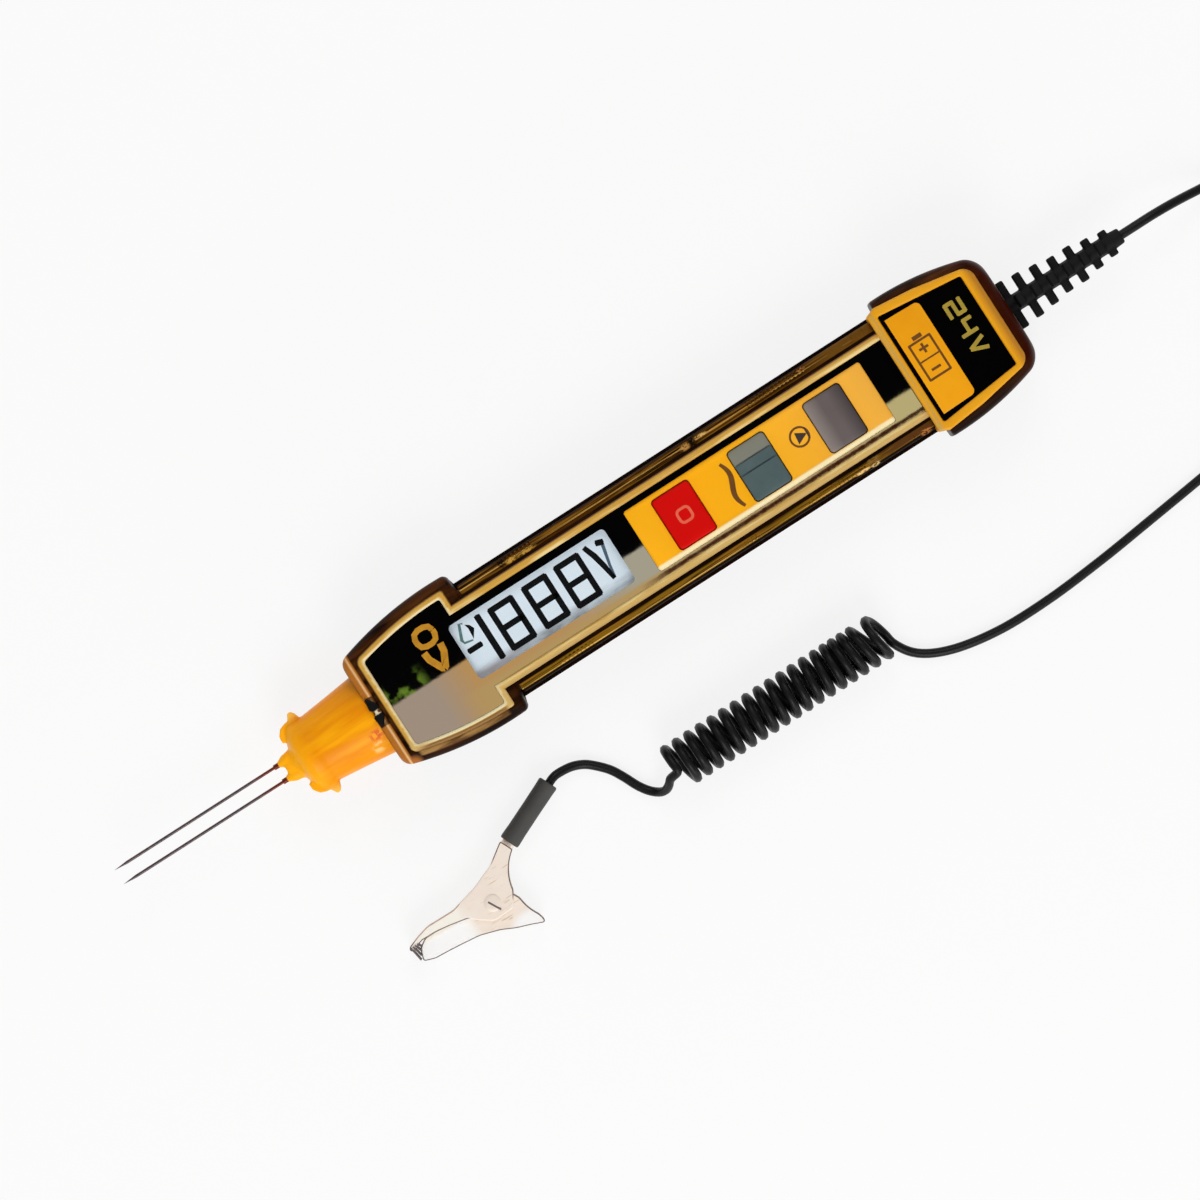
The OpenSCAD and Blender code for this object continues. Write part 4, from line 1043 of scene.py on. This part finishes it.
# %% Frame between two outlines
def offset(outline, inset):
    """The outline moved inwards by inset: each point goes by inset x (n + m) / (1 + n.m), with n and m the
    normals of its two edges. At a sharp corner the divisor is at least 0.35, so that the point stays near."""
    following = np.roll(outline, -1, 0)
    ahead = unit(following - outline)
    area = np.sum(outline[:, 0] * following[:, 1] - following[:, 0] * outline[:, 1])
    normal = np.stack([-ahead[:, 1], ahead[:, 0]], -1) * np.sign(area)
    before = np.roll(normal, 1, 0)
    spread = np.maximum(1 + np.sum(normal * before, 1, keepdims=True), 0.35)
    return outline + inset * (normal + before) / spread


def ray_points(outline, centre, angles):
    """Where a ray from the centre at each angle crosses the outline, the farthest crossing if there are more.
    With a ray r d and an edge a + p e, r and p are quotients of cross products."""
    a = (outline - centre)[None]
    e = (np.roll(outline, -1, 0) - outline)[None]
    d = np.stack([np.cos(angles), np.sin(angles)], -1)[:, None]
    crossed = d[..., 0] * e[..., 1] - d[..., 1] * e[..., 0]
    crossed = np.where(np.abs(crossed) < 1e-12, 1e-12, crossed)
    reach = (a[..., 0] * e[..., 1] - a[..., 1] * e[..., 0]) / crossed
    place = (a[..., 0] * d[..., 1] - a[..., 1] * d[..., 0]) / crossed
    hit = np.where((place > -1e-9) & (place < 1 + 1e-9) & (reach > 0), reach, 0).max(1)
    return centre + hit[:, None] * d[:, 0]


inlay_line = offset(np.array([[72.3, 13.05], [91.65, 10.95], [91.65, -10.95], [72.3, -13.05]]), 0.5)
inlay_line = np.vstack([arc(p, 0.5, a + 90, a, 5) for p, a in zip(inlay_line, (90, 0, -90, -180))])
CAP_MIDDLE = np.array([81.5, 0.0])
cap_line = cap_frame_line()
rays = np.concatenate([np.arctan2(*(line - CAP_MIDDLE).T[::-1]) for line in (cap_line, inlay_line)])
rays = np.unique(np.round(np.concatenate([rays, np.linspace(-np.pi, np.pi, 240, endpoint=False)]), 5))
outer = ray_points(cap_line, CAP_MIDDLE, rays)
inner = ray_points(inlay_line, CAP_MIDDLE, rays)
CAP_SECTION = [
    [0, 18.8], [0, 20.3], [0.05, 20.55], [0.14, 20.72], [0.28, 20.8], [0.76, 20.8], [0.88, 20.74],
    [0.96, 20.6], [1, 20.35], [1, 18.8],
]
rows = np.array([np.insert(outer + s * (inner - outer), 2, z, axis=1) for s, z in CAP_SECTION])
leg_profile = [(0, 9.55), (0, 19.0)]
legs = [plate("leg", round_box((71.17, y), (1.5, 1.81), 0.3), leg_profile) for y in (13.325, -13.325)]
cap_frame = gather("cap_frame", [surface("cap_frame_ring", rows, loop=True, angle=40)] + legs, 40)
# The same kind of sprayed lacquer in a deeper amber, rubbed pale on the front and brown at the rear
cap_gold = moulded("sprayed_amber_lacquer", "#e89c08", "#eeaa18", 9, (0.3, 0.4), 1.5, 0.001, 0.2)
tint(
    cap_gold,
    ("#c8a04e", along("X", 71.9, 71.5), along("Z", 19.0, 20.2), patches(0.5, 0.4, 0.6, 1, 20)),
    ("#be7e20", along("X", 92.2, 93.6)),
)
dress(cap_frame, cap_gold, "gold_frame", "cap_bezel")
paint("cap_panel", face_acrylic)

# %% Orange plate and print on the cap
# Anodised orange label plate with a brown line drawing of a cell
label_orange = moulded("label_orange_print", "#ee9800", "#f6ac14", 8, (0.34, 0.46), 0.5, 0.003, 0.12)
label_line = mirrored(np.vstack([[[73.2, 11.6]], arc((80.15, 10.2), 1.2, 84, 0, 8)]))
INLAY_TOP, LABEL_TOP = cad("cap_panel", "highest", "Z"), cad("label_plate", "highest", "Z")
label = plate("cap_label", label_line, [(0, INLAY_TOP), (0, 20.5), (0.06, 20.57), (0.15, LABEL_TOP)])
dress(label, label_orange, "label", "label_plate")
cell_line = [(74.6, 4.2), (79.6, 4.2), (79.6, -4.2), (74.6, -4.2), (74.6, 4.2)]
cell_sign = [bar(a, b, 0.5) for a, b in zip(cell_line, cell_line[1:])]
for *ends, width in (
    ((76.0, 4.9), (78.2, 4.9), 0.45), ((76.0, 5.35), (78.2, 5.35), 0.45), ((76.0, 2.4), (78.2, 2.4), 0.55),
    ((77.1, 3.5), (77.1, 1.3), 0.55), ((76.0, -2.5), (78.2, -2.5), 0.55), ((74.8, 0.0), (79.4, 0.0), 0.35),
):
    cell_sign.append(ribbon(ends, width))
print_on("label_cell_sign", cell_sign, LABEL_TOP, print_brown, "label")
# Olive-yellow numbers and unit, printed on the inlay: drawn upright, then turned to read along -Y
print_olive = moulded("screen_print_olive", "#b99a24", "#8c7a20", 2.5)
supply = number_bars("2", (0, 0), (2.9, 3.3), 0.85) + number_bars("4", (4.6, 0), (2.9, 3.3), 0.85)
supply += [ribbon([(9.2, 3.5), (10.6, -0.2)], 0.85), ribbon([(12.0, 3.5), (10.6, -0.2)], 0.85)]
supply = [np.stack([85.4 + s[:, 1], 7.3 - s[:, 0]], -1) for s in supply]
print_on("inlay_supply_sign", supply, INLAY_TOP, print_olive, "face")

# %% [markdown]
# ## Nose and needles
#
# The nose is one thick moulding of amber polycarbonate that a lamp lights from inside. Two horns hold the
# needles, two lugs stand out at the sides for the fingers, and the back widens to meet the body. It could be
# sculpted, but then its sizes would only be near the real ones. So plain parts of the right sizes overlap,
# are fused into one skin and smoothed, which gives the soft corners of a thick clear moulding.


# %% Fusing parts into one skin
def melt(piece, voxel, rounds):
    """Fuses overlapping shells into one skin of voxel-sized cells and smooths it, as soft mouldings are."""
    smooth = ("SMOOTH", {"factor": 0.5, "iterations": rounds})
    return modified(piece, [("REMESH", {"mode": "VOXEL", "voxel_size": voxel * MM}), smooth], 60)


# %% Nose
ROOT_X = cad("nose", "lowest", "X")
# Distance from the root, half width and half height
NOSE = np.array([
    [2.0, 1.9, 1.2], [2.8, 2.2, 1.5], [4.0, 2.75, 1.9], [4.6, 3.4, 2.9], [5.0, 4.7, 4.2], [5.6, 6.5, 5.7],
    [6.4, 7.6, 6.7], [7.4, 8.05, 7.1], [9.3, 8.1, 7.15], [10.0, 7.95, 7.1], [10.4, 7.8, 7.1],
    [16.0, 8.4, 7.45], [23.6, 9.3, 7.9], [25.6, 9.3, 7.9],
])
HORN = [(0, 0.6), (0.6, 0.8), (1.2, 1.15), (1.8, 1.4), (3.2, 1.6), (4.6, 2.0), (5.6, 2.4)]
LUG = [[-81.0, 5.0], [-80.9, 6.6], [-79.9, 7.9], [-78.6, 8.4], [-77.6, 8.5], [-76.9, 9.9], [-76.2, 9.95],
       [-75.6, 9.2], [-75.0, 7.4], [-78.0, 5.0]]
nose_x = np.linspace(NOSE[0, 0], 24.1, 92)
nose_half, nose_high = [np.interp(nose_x, NOSE[:, 0], NOSE[:, i]) for i in (1, 2)]
nose_parts = [
    oval_skin("nose_body", ROOT_X + nose_x, nose_half, nose_high, 64),
    oval_skin("nose_spigot", [BODY_X - 0.6, BODY_X + 3], 7.5, 4.8),
]
for side in (1, -1):
    nose_parts.append(turned("horn", (ROOT_X + 0.9, side * 1.75, SPLIT_Z), (1, 0, 0), HORN))
    nose_parts.append(plate("lug", np.array(LUG) * [1, side], [(0, 7.4), (0, 11.6)]))
nose = melt(gather("nose_amber", nose_parts), 0.24, 6)
# Amber polycarbonate with flow lines along it. Its glow is painted: a faint emission, brighter along the
# middle, at the tip and on the lugs. Near the body it is darker on the far side, and on the near side, by the
# seam, a glint is painted with orange-red round it.
nose_pc = moulded("nose_amber_polycarbonate", "#ee9000", "#f6a000", 6, (0.26, 0.4), 1.2, 0.003, 0.1,
                  Emission_Color=colour("#f09400"), Emission_Strength=0.06)
tint(
    nose_pc,
    ("#ffb208", band("Y", -1, 1, 7.5), 0.75),
    ("#ec8c00", patches(1 / 0.52, 0.68, 0.4, 26 / 3)),
    ("#d8860a", along("X", -68, -62), along("Y", 1, 8)),
    ("#ffb010", along("X", -76, -80)),
    ("#dc5c0c", spot((-63.2, -4.0, 16.5), (2.2, 1.4, 6)), patches(0.9, 0.5, 0.54, 1, 2)),
    ("#fdc878", spot((-64.2, -6.4, 15), (2.0, 1.5, 6)), patches(1.6, 0.42, 0.56)),
    ("#ffc050", spot((-77.0, 9.6, 9.5), (3.4, 2.2, 5))),
    ("#ffc050", spot((-77.0, -9.6, 9.5), (3.4, 2.2, 5))),
)
dress(nose, nose_pc, "amber", "nose")

# %% Latch and needles
# Black acetal has a waxy sheen. The catch is two wedges of it, joined by a thin neck
acetal = moulded("latch_black_acetal", "#040404", "#0a0a0b", 4, (0.4, 0.5), 0.3, 0.004, 0.12)
# A pale highlight is painted across the neck
tint(acetal, ("#e6d6b4", spot((-60.4, -0.1, 18.6), (1.6, 0.6, 2))))
latch_line = np.array([
    [-61.8, 0.9], [-61.5, 3.4], [-60.9, 3.4], [-59.5, 1.4], [-59.7, 0.45], [-60.3, 0.2], [-60.3, -0.2],
    [-59.7, -0.45], [-59.5, -1.4], [-60.9, -3.4], [-61.5, -3.4], [-61.8, -0.9], [-61.0, -0.2], [-61.0, 0.2],
])
latch_profile = [(0, 17.5), (0, 18.35), (0.1, 18.52), (0.3, 18.6)]
latch = plate("nose_latch_wedge", latch_line, latch_profile, inward=offset)
dress(latch, acetal, "black_part", "nose_latch")
# Spring steel, ground to a point: dark grey, and reddish brown towards the nose
needle_steel = moulded("needle_blued_steel", "#4c464a", "#5c4c4c", 5, (0.25, 0.4), 0.3, 0.002, Metallic=0.9)
tint(needle_steel, ("#6a2c1c", along("X", -92, -86)))
for side in ("left", "right"):
    paint("needle_" + side, needle_steel)
print("needles painted")

# %% [markdown]
# ## Strain relief
#
# A soft sleeve keeps the lead from kinking where it leaves the cap. Lugs stand out in pairs, by turns to the
# sides and up and down, and get shorter along it. Boxes on a tube could show them, but each would meet it in
# a hard line. Fused into one skin and smoothed, they run into it softly, as rubber is moulded.

# %% Strain relief
LUG_REACH = (5.6, 5.25, 4.75, 4.2, 4.2, 3.5, 3.0)
CORE = [(-3.05, 1.0), (-3.05, 3.5), (-1.65, 3.5), (-1.65, 1.95), (26, 1.9), (28.1, 1.75), (28.4, 1.5),
        (28.4, 1.0)]
relief_parts = [turned("core", (END_X, 0, SPLIT_Z), (1, 0, 0), CORE, loop=True)]
# Of each lug and rib: its middle, its size, half its height, half its height at the side, and its chamfer
lugs = []
for i, reach in enumerate(LUG_REACH):
    x = END_X + 0.1 + 4 * i
    lugs.append((x + 0.95, (1.9, 2 * reach), 1.4, 1.1, 0.3))
    lugs.append((x + 3.0, (1.6, 3.2), reach - 0.2, reach - 0.5, 0.2))
for x, size, top, side, chamfer in lugs[:-1]:
    profile = [(chamfer, -top), (0, -side), (0, side), (chamfer, top)]
    lug = plate("lug", round_box((x, 0), size, 0.35, 4), [(inset, SPLIT_Z + z) for inset, z in profile])
    relief_parts.append(lug)
relief = melt(gather("strain_relief_sleeve", relief_parts), 0.17, 3)
# Rubber of the strain relief, nearly black and almost matt
relief_rubber = moulded("relief_rubber", "#1e1e1f", "#0c0c0d", 4, (0.45, 0.6), 0.25, 0.01, 0.1)
dress(relief, relief_rubber, "rubber_black", "strain_relief")

# %% [markdown]
# ## The clip
#
# The alligator clip is folded from nickel-plated sheet. The upper jaw and the arm for the sleeve are one
# channel, the lower jaw and its lever a narrower one inside it, with a rivet and a torsion spring between. A
# solid block would lose the thin edges that one sees from above, so each channel is two side walls and the
# strip that the fold leaves between them.


# %% Clip outlines
def eased(outline):
    """The outline with its corners cut twice: each gives way to a point a little before and one after it."""
    for radius in (0.35, 0.14):
        following = np.roll(outline, -1, 0)
        length = np.linalg.norm(following - outline, axis=1, keepdims=True)
        step = (following - outline) / length * np.minimum(radius, 0.3 * length)
        outline = np.stack([outline + step, following - step], 1).reshape(-1, 2)
    return outline


# Outlines and middle lines of the folds are drawn about the pivot
PIVOT = np.array(middle("clip_pivot"))
CLIP_Z, CLIP_T, SHEET = 0.5, 5.6, 0.6
fixed_line = eased(np.vstack([
    [[-20, 1.5], [-17.4, 2.5], [-14.3, 3.3], [-7.9, 3.2], [-4.8, 4], [-1.6, 4.8], [3.7, 6.9], [8.4, 10.2],
     [9.6, 7.6]],
    arc((15.9, -1.6), 10.8, 125, 172, 10),
    [[3.2, -3.2], [-1.5, -3.4], [-4.2, -1.6], [-5.9, 0.0], [-10.1, 0.85], [-13.2, 1.3], [-17.0, 1.4],
     [-18.9, 0.3], [-20, 0.5]],
]))
lever_line = eased(np.vstack([
    [[-18.9, -2.5], [-16.4, -3.4], [-13.3, -3.6], [-10.1, -3.9], [-5.9, -4.4], [-1.7, -5.7], [1.4, -7.2],
     [4.5, -8.3], [7.1, -9.4], [7.5, -8.8]],
    arc((15.9, -1.6), 10.4, 212, 183, 8),
    [[3.4, 2], [0.8, 3.2], [-2.4, 2.6], [-4.6, 1.2], [-5.9, 0.4], [-10.1, 1.1], [-13.2, 1.5], [-16, 1.5],
     [-18.0, 0.2]],
]))
FIXED_FOLD = [[-19, 1.45], [-17.3, 2.1], [-14.2, 2.9], [-7.8, 2.8], [-4.6, 3.6], [-1.4, 4.4], [3.8, 6.5],
              [8.2, 9.4]]
LEVER_FOLD = [[-18.5, -2.2], [-16.2, -3.0], [-13.2, -3.2], [-10.0, -3.5], [-5.7, -4.0], [-1.5, -5.3],
              [1.6, -6.8], [4.6, -7.9], [6.9, -8.8]]


def walls(name, line, fold, low, high):
    """A channel of folded sheet: the outline as two side walls, and a strip along the fold between them. fold
    gives the strip's middle line."""
    edge = [(0.3, 0), (0.1, 0), (0.03, 0.04), (0, 0.14), (0, SHEET - 0.14), (0.03, SHEET - 0.04),
            (0.1, SHEET), (0.3, SHEET)]
    sides = [plate("side", line + PIVOT, [(inset, base + z) for inset, z in edge], inward=offset)
             for base in (low, high - SHEET)]
    strip = plate("strip", ribbon(fold, SHEET) + PIVOT, [(0, low + 0.1), (0, high - 0.1)])
    return gather(name, sides + [strip])


print("the jaws' outlines have", len(fixed_line), "and", len(lever_line), "points")

# %% Clip pieces
# Nickel-plated sheet. A film of tarnish stays in its drawing marks, as fine brown lines. Its edges are drawn
# as a brownish line, darkened to painted shade round the mouth, below and behind. Painted highlights pale the
# front of the jaws, and whiten the lower jaw's front and a patch on the lever.
clip_nickel = moulded("clip_nickel_plate", "#f3e2d2", "#faf0e6", 5, (0.34, 0.46), 0.4, 0.003, Metallic=0.1)
tree = clip_nickel.node_tree
edges = product(across(0.01, 0.05), across(0.27, 0.18))(tree)
mouth = product(along("X", -68.4, -67.6), along("X", -57.6, -58.2), along("Y", -51.0, -50.7))(tree)
rim = add(tree, "Math", {0: edges, 1: mouth}, operation="SUBTRACT", use_clamp=True).outputs[0]
sides = {0: along("Y", -44.6, -45.4)(tree), 1: along("X", -57.4, -56.6)(tree)}
painted_shade_side = add(tree, "Math", sides, operation="MAXIMUM").outputs[0]
tint(
    clip_nickel,
    ("#d8bfa8", patches(0.4, 0.62, 0.7, 9)),
    ("#fdf8ee", along("X", -67, -70)),
    ("#ffffff", along("X", -67, -70), along("Y", -46.4, -47)),
    ("#ffffff", spot((-57.5, -54.6, 5), (5, 3, 8))),
    ("#c49c88", rim),
    ("#4a3228", rim, painted_shade_side),
)
ARM_TURN = math.radians(23.8)
arm = Vector((math.cos(ARM_TURN), math.sin(ARM_TURN), 0))
boot_start = Vector((-52.3, -38.2, 3.3))
fixed = walls("clip_upper_jaw", fixed_line, FIXED_FOLD, CLIP_Z, CLIP_Z + CLIP_T)
stub = turned("stub", boot_start - 1.2 * arm, arm, [(0, 1.2), (0.2, 1.45), (8.0, 1.45), (8.2, 1.2)])
fixed = gather("clip_upper_jaw", [fixed, stub])
dress(fixed, clip_nickel, "clip_metal", "clip_fixed_jaw")
lever = walls("clip_lower_jaw", lever_line, LEVER_FOLD, CLIP_Z + 0.75, CLIP_Z + CLIP_T - 0.75)
dress(lever, clip_nickel, "clip_metal", "clip_lever_jaw", body="clip_lever")
# Bright drawn steel of the rivet and the spring
rivet_steel = moulded("rivet_bright_steel", "#efe0d0", "#f6ebe0", 3, (0.3, 0.4), 0.3, 0.003, Metallic=0.1)
RIVET = [(0.2, 1.5), (0.26, 1.7), (0.36, 1.8), (0.46, 1.8), (0.46, 1.18), (6.12, 1.18), (6.12, 1.8),
         (6.22, 1.78), (6.3, 1.5), (6.34, 1.1), (6.35, 0.5)]
rivet = turned("clip_rivet", (*PIVOT, 0.0), (0, 0, 1), RIVET, 40)
dress(rivet, rivet_steel, "clip_metal", "clip_pivot")
# A row of fine teeth of bare steel is pressed out of the upper jaw's tip and bites past the lower one
tooth_steel = moulded("teeth_bare_steel", "#5c5054", "#8a7e80", 1.5, (0.35, 0.5), 0.3, 0.003, Metallic=0.6)
teeth = [bar((-81.7 + 0.55 * i, -45.9), (-81.2 + 0.55 * i, -49.0 + 0.75 * i), 0.34) for i in range(4)]
print_on("clip_teeth", teeth, CLIP_Z + 0.3, tooth_steel, "clip_metal", rise=CLIP_T)
slot_line = bar((-62.7, -46.5), (-61.3, -49.1), 0.4)
print_on("clip_slot_mark", [slot_line], CLIP_Z + CLIP_T + 0.24, tooth_steel, "clip_metal", rise=0.02)

# %% Clip spring
# The wire's turns about the pivot, from one straight leg to the other
a = np.radians(np.linspace(-50, -50 + 360 * 2.74, 110))
turns = np.stack([1.75 * np.cos(a), 1.75 * np.sin(a), np.linspace(0.62, -0.62, len(a))], -1)


def leg(end, first, last):
    """A straight leg along the wire's direction at one end of the turns, from first to last mm from it."""
    way = a[end] + np.pi / 2
    return turns[end] + np.outer(np.linspace(first, last, 8), [math.cos(way), math.sin(way), 0])


wire_line = np.vstack([leg(0, 4.6, 0.3), turns, leg(-1, 0.3, 4.6)]) + [*PIVOT, 3.3]
# At each point a ring, square to the line, that doesn't twist about Z
ahead = unit(np.gradient(wire_line, axis=0))
level = unit(np.cross([0, 0, 1.0], ahead))
around = np.linspace(0, 2 * np.pi, 12, endpoint=False)[None, :, None]
ring = np.cos(around) * level[:, None] + np.sin(around) * np.cross(ahead, level)[:, None]
spring = surface("clip_spring_wire", wire_line[:, None] + 0.28 * ring)
spring.data.materials.append(rivet_steel)
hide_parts("clip_spring")
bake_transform(spring)
print(spring.name, len(spring.data.polygons), "faces")

# %% Clip sleeve
# Softer rubber, dark grey and almost matt
sleeve_rubber = moulded("sleeve_rubber", "#4a4946", "#3a3a38", 5, (0.5, 0.65), 0.25, 0.008, 0.3)
BOOT = [(0, 1.52), (0, 1.95), (0.2, 2.16), (0.8, 2.2), (3, 2.12), (9, 2.1), (13.6, 2.14), (14.6, 2.2),
        (14.95, 2.12), (15.1, 1.9), (15.1, 1.52)]
boot = turned("clip_sleeve", boot_start, arm, BOOT, 40, loop=True)
dress(boot, sleeve_rubber, "sleeve", "clip_boot")

# %% [markdown]
# ## What is inside
#
# The inner parts are the CAD nodes as they are. They could be built again with every pin and track, but only
# someone who opens the case sees them, so they just get the finishes that such parts have: a green board,
# tinned contacts, brass sockets and two button cells.

# %% Finishes of the inner parts
# Solder mask and glass shine a little, turned brass, tin and zinc shine as metals do, PVC is smooth, and
# rubber, epoxy and ceramic are dull. A row is what moulded takes, whether it is metal, the slot, the nodes.
INSIDE = (
    ("board_green_solder_mask", "#14603a", "#0f4a2c", 5, (0.3, 0.4), 0.8, 0.004, 0, "board", "circuit_board"),
    ("socket_turned_brass", "#c9a24e", "#b38a3a", 3, (0.25, 0.4), 0.3, 0.003, 1, "brass_part",
     "needle_sockets"),
    ("wire_red_pvc", "#b01a1a", "#c22222", 3, (0.35, 0.5), 0.3, 0.003, 0, "wire_red", "needle_wires"),
    ("lamp_frosted_glass", "#f0eee4", "#e4e0d0", 2, (0.3, 0.45), 0.3, 0.003, 0, "lamp", "nose_lamp"),
    ("backlight_white_guide", "#eef2f6", "#e2e8ee", 5, (0.35, 0.5), 0.5, 0.003, 0, "diffuser",
     "display_backlight"),
    ("contact_grey_rubber", "#33333a", "#26262c", 3, (0.5, 0.65), 0.3, 0.006, 0, "component",
     "display_contacts"),
    ("component_black_epoxy", "#141416", "#202024", 3, (0.45, 0.6), 0.25, 0.005, 0, "component",
     "switch_housings main_chip buzzer"),
    ("part_white_ceramic", "#d8d4c8", "#c6c2b4", 3, (0.35, 0.5), 0.3, 0.004, 0, "ceramic_part",
     "plunger_red plunger_teal plunger_grey input_fuse"),
    ("contact_tinned_steel", "#c4c4c6", "#aeb0b4", 3, (0.25, 0.4), 0.3, 0.003, 1, "tin",
     "crystal cell_left cell_right cell_contacts"),
    ("screw_zinc_plate", "#a4a8ac", "#8e9298", 2, (0.3, 0.42), 0.25, 0.004, 1, "screw", "case_screws"),
)
for *finish, metallic, slot, names in INSIDE:
    material = moulded(*finish, Metallic=metallic)
    for name in names.split():
        paint(name, material)
paint("lead_inner", lead_pvc)
paint("battery_door", shell_abs)
print(len(INSIDE), "inner finishes")

# %% Update the scene
bpy.context.view_layer.update()
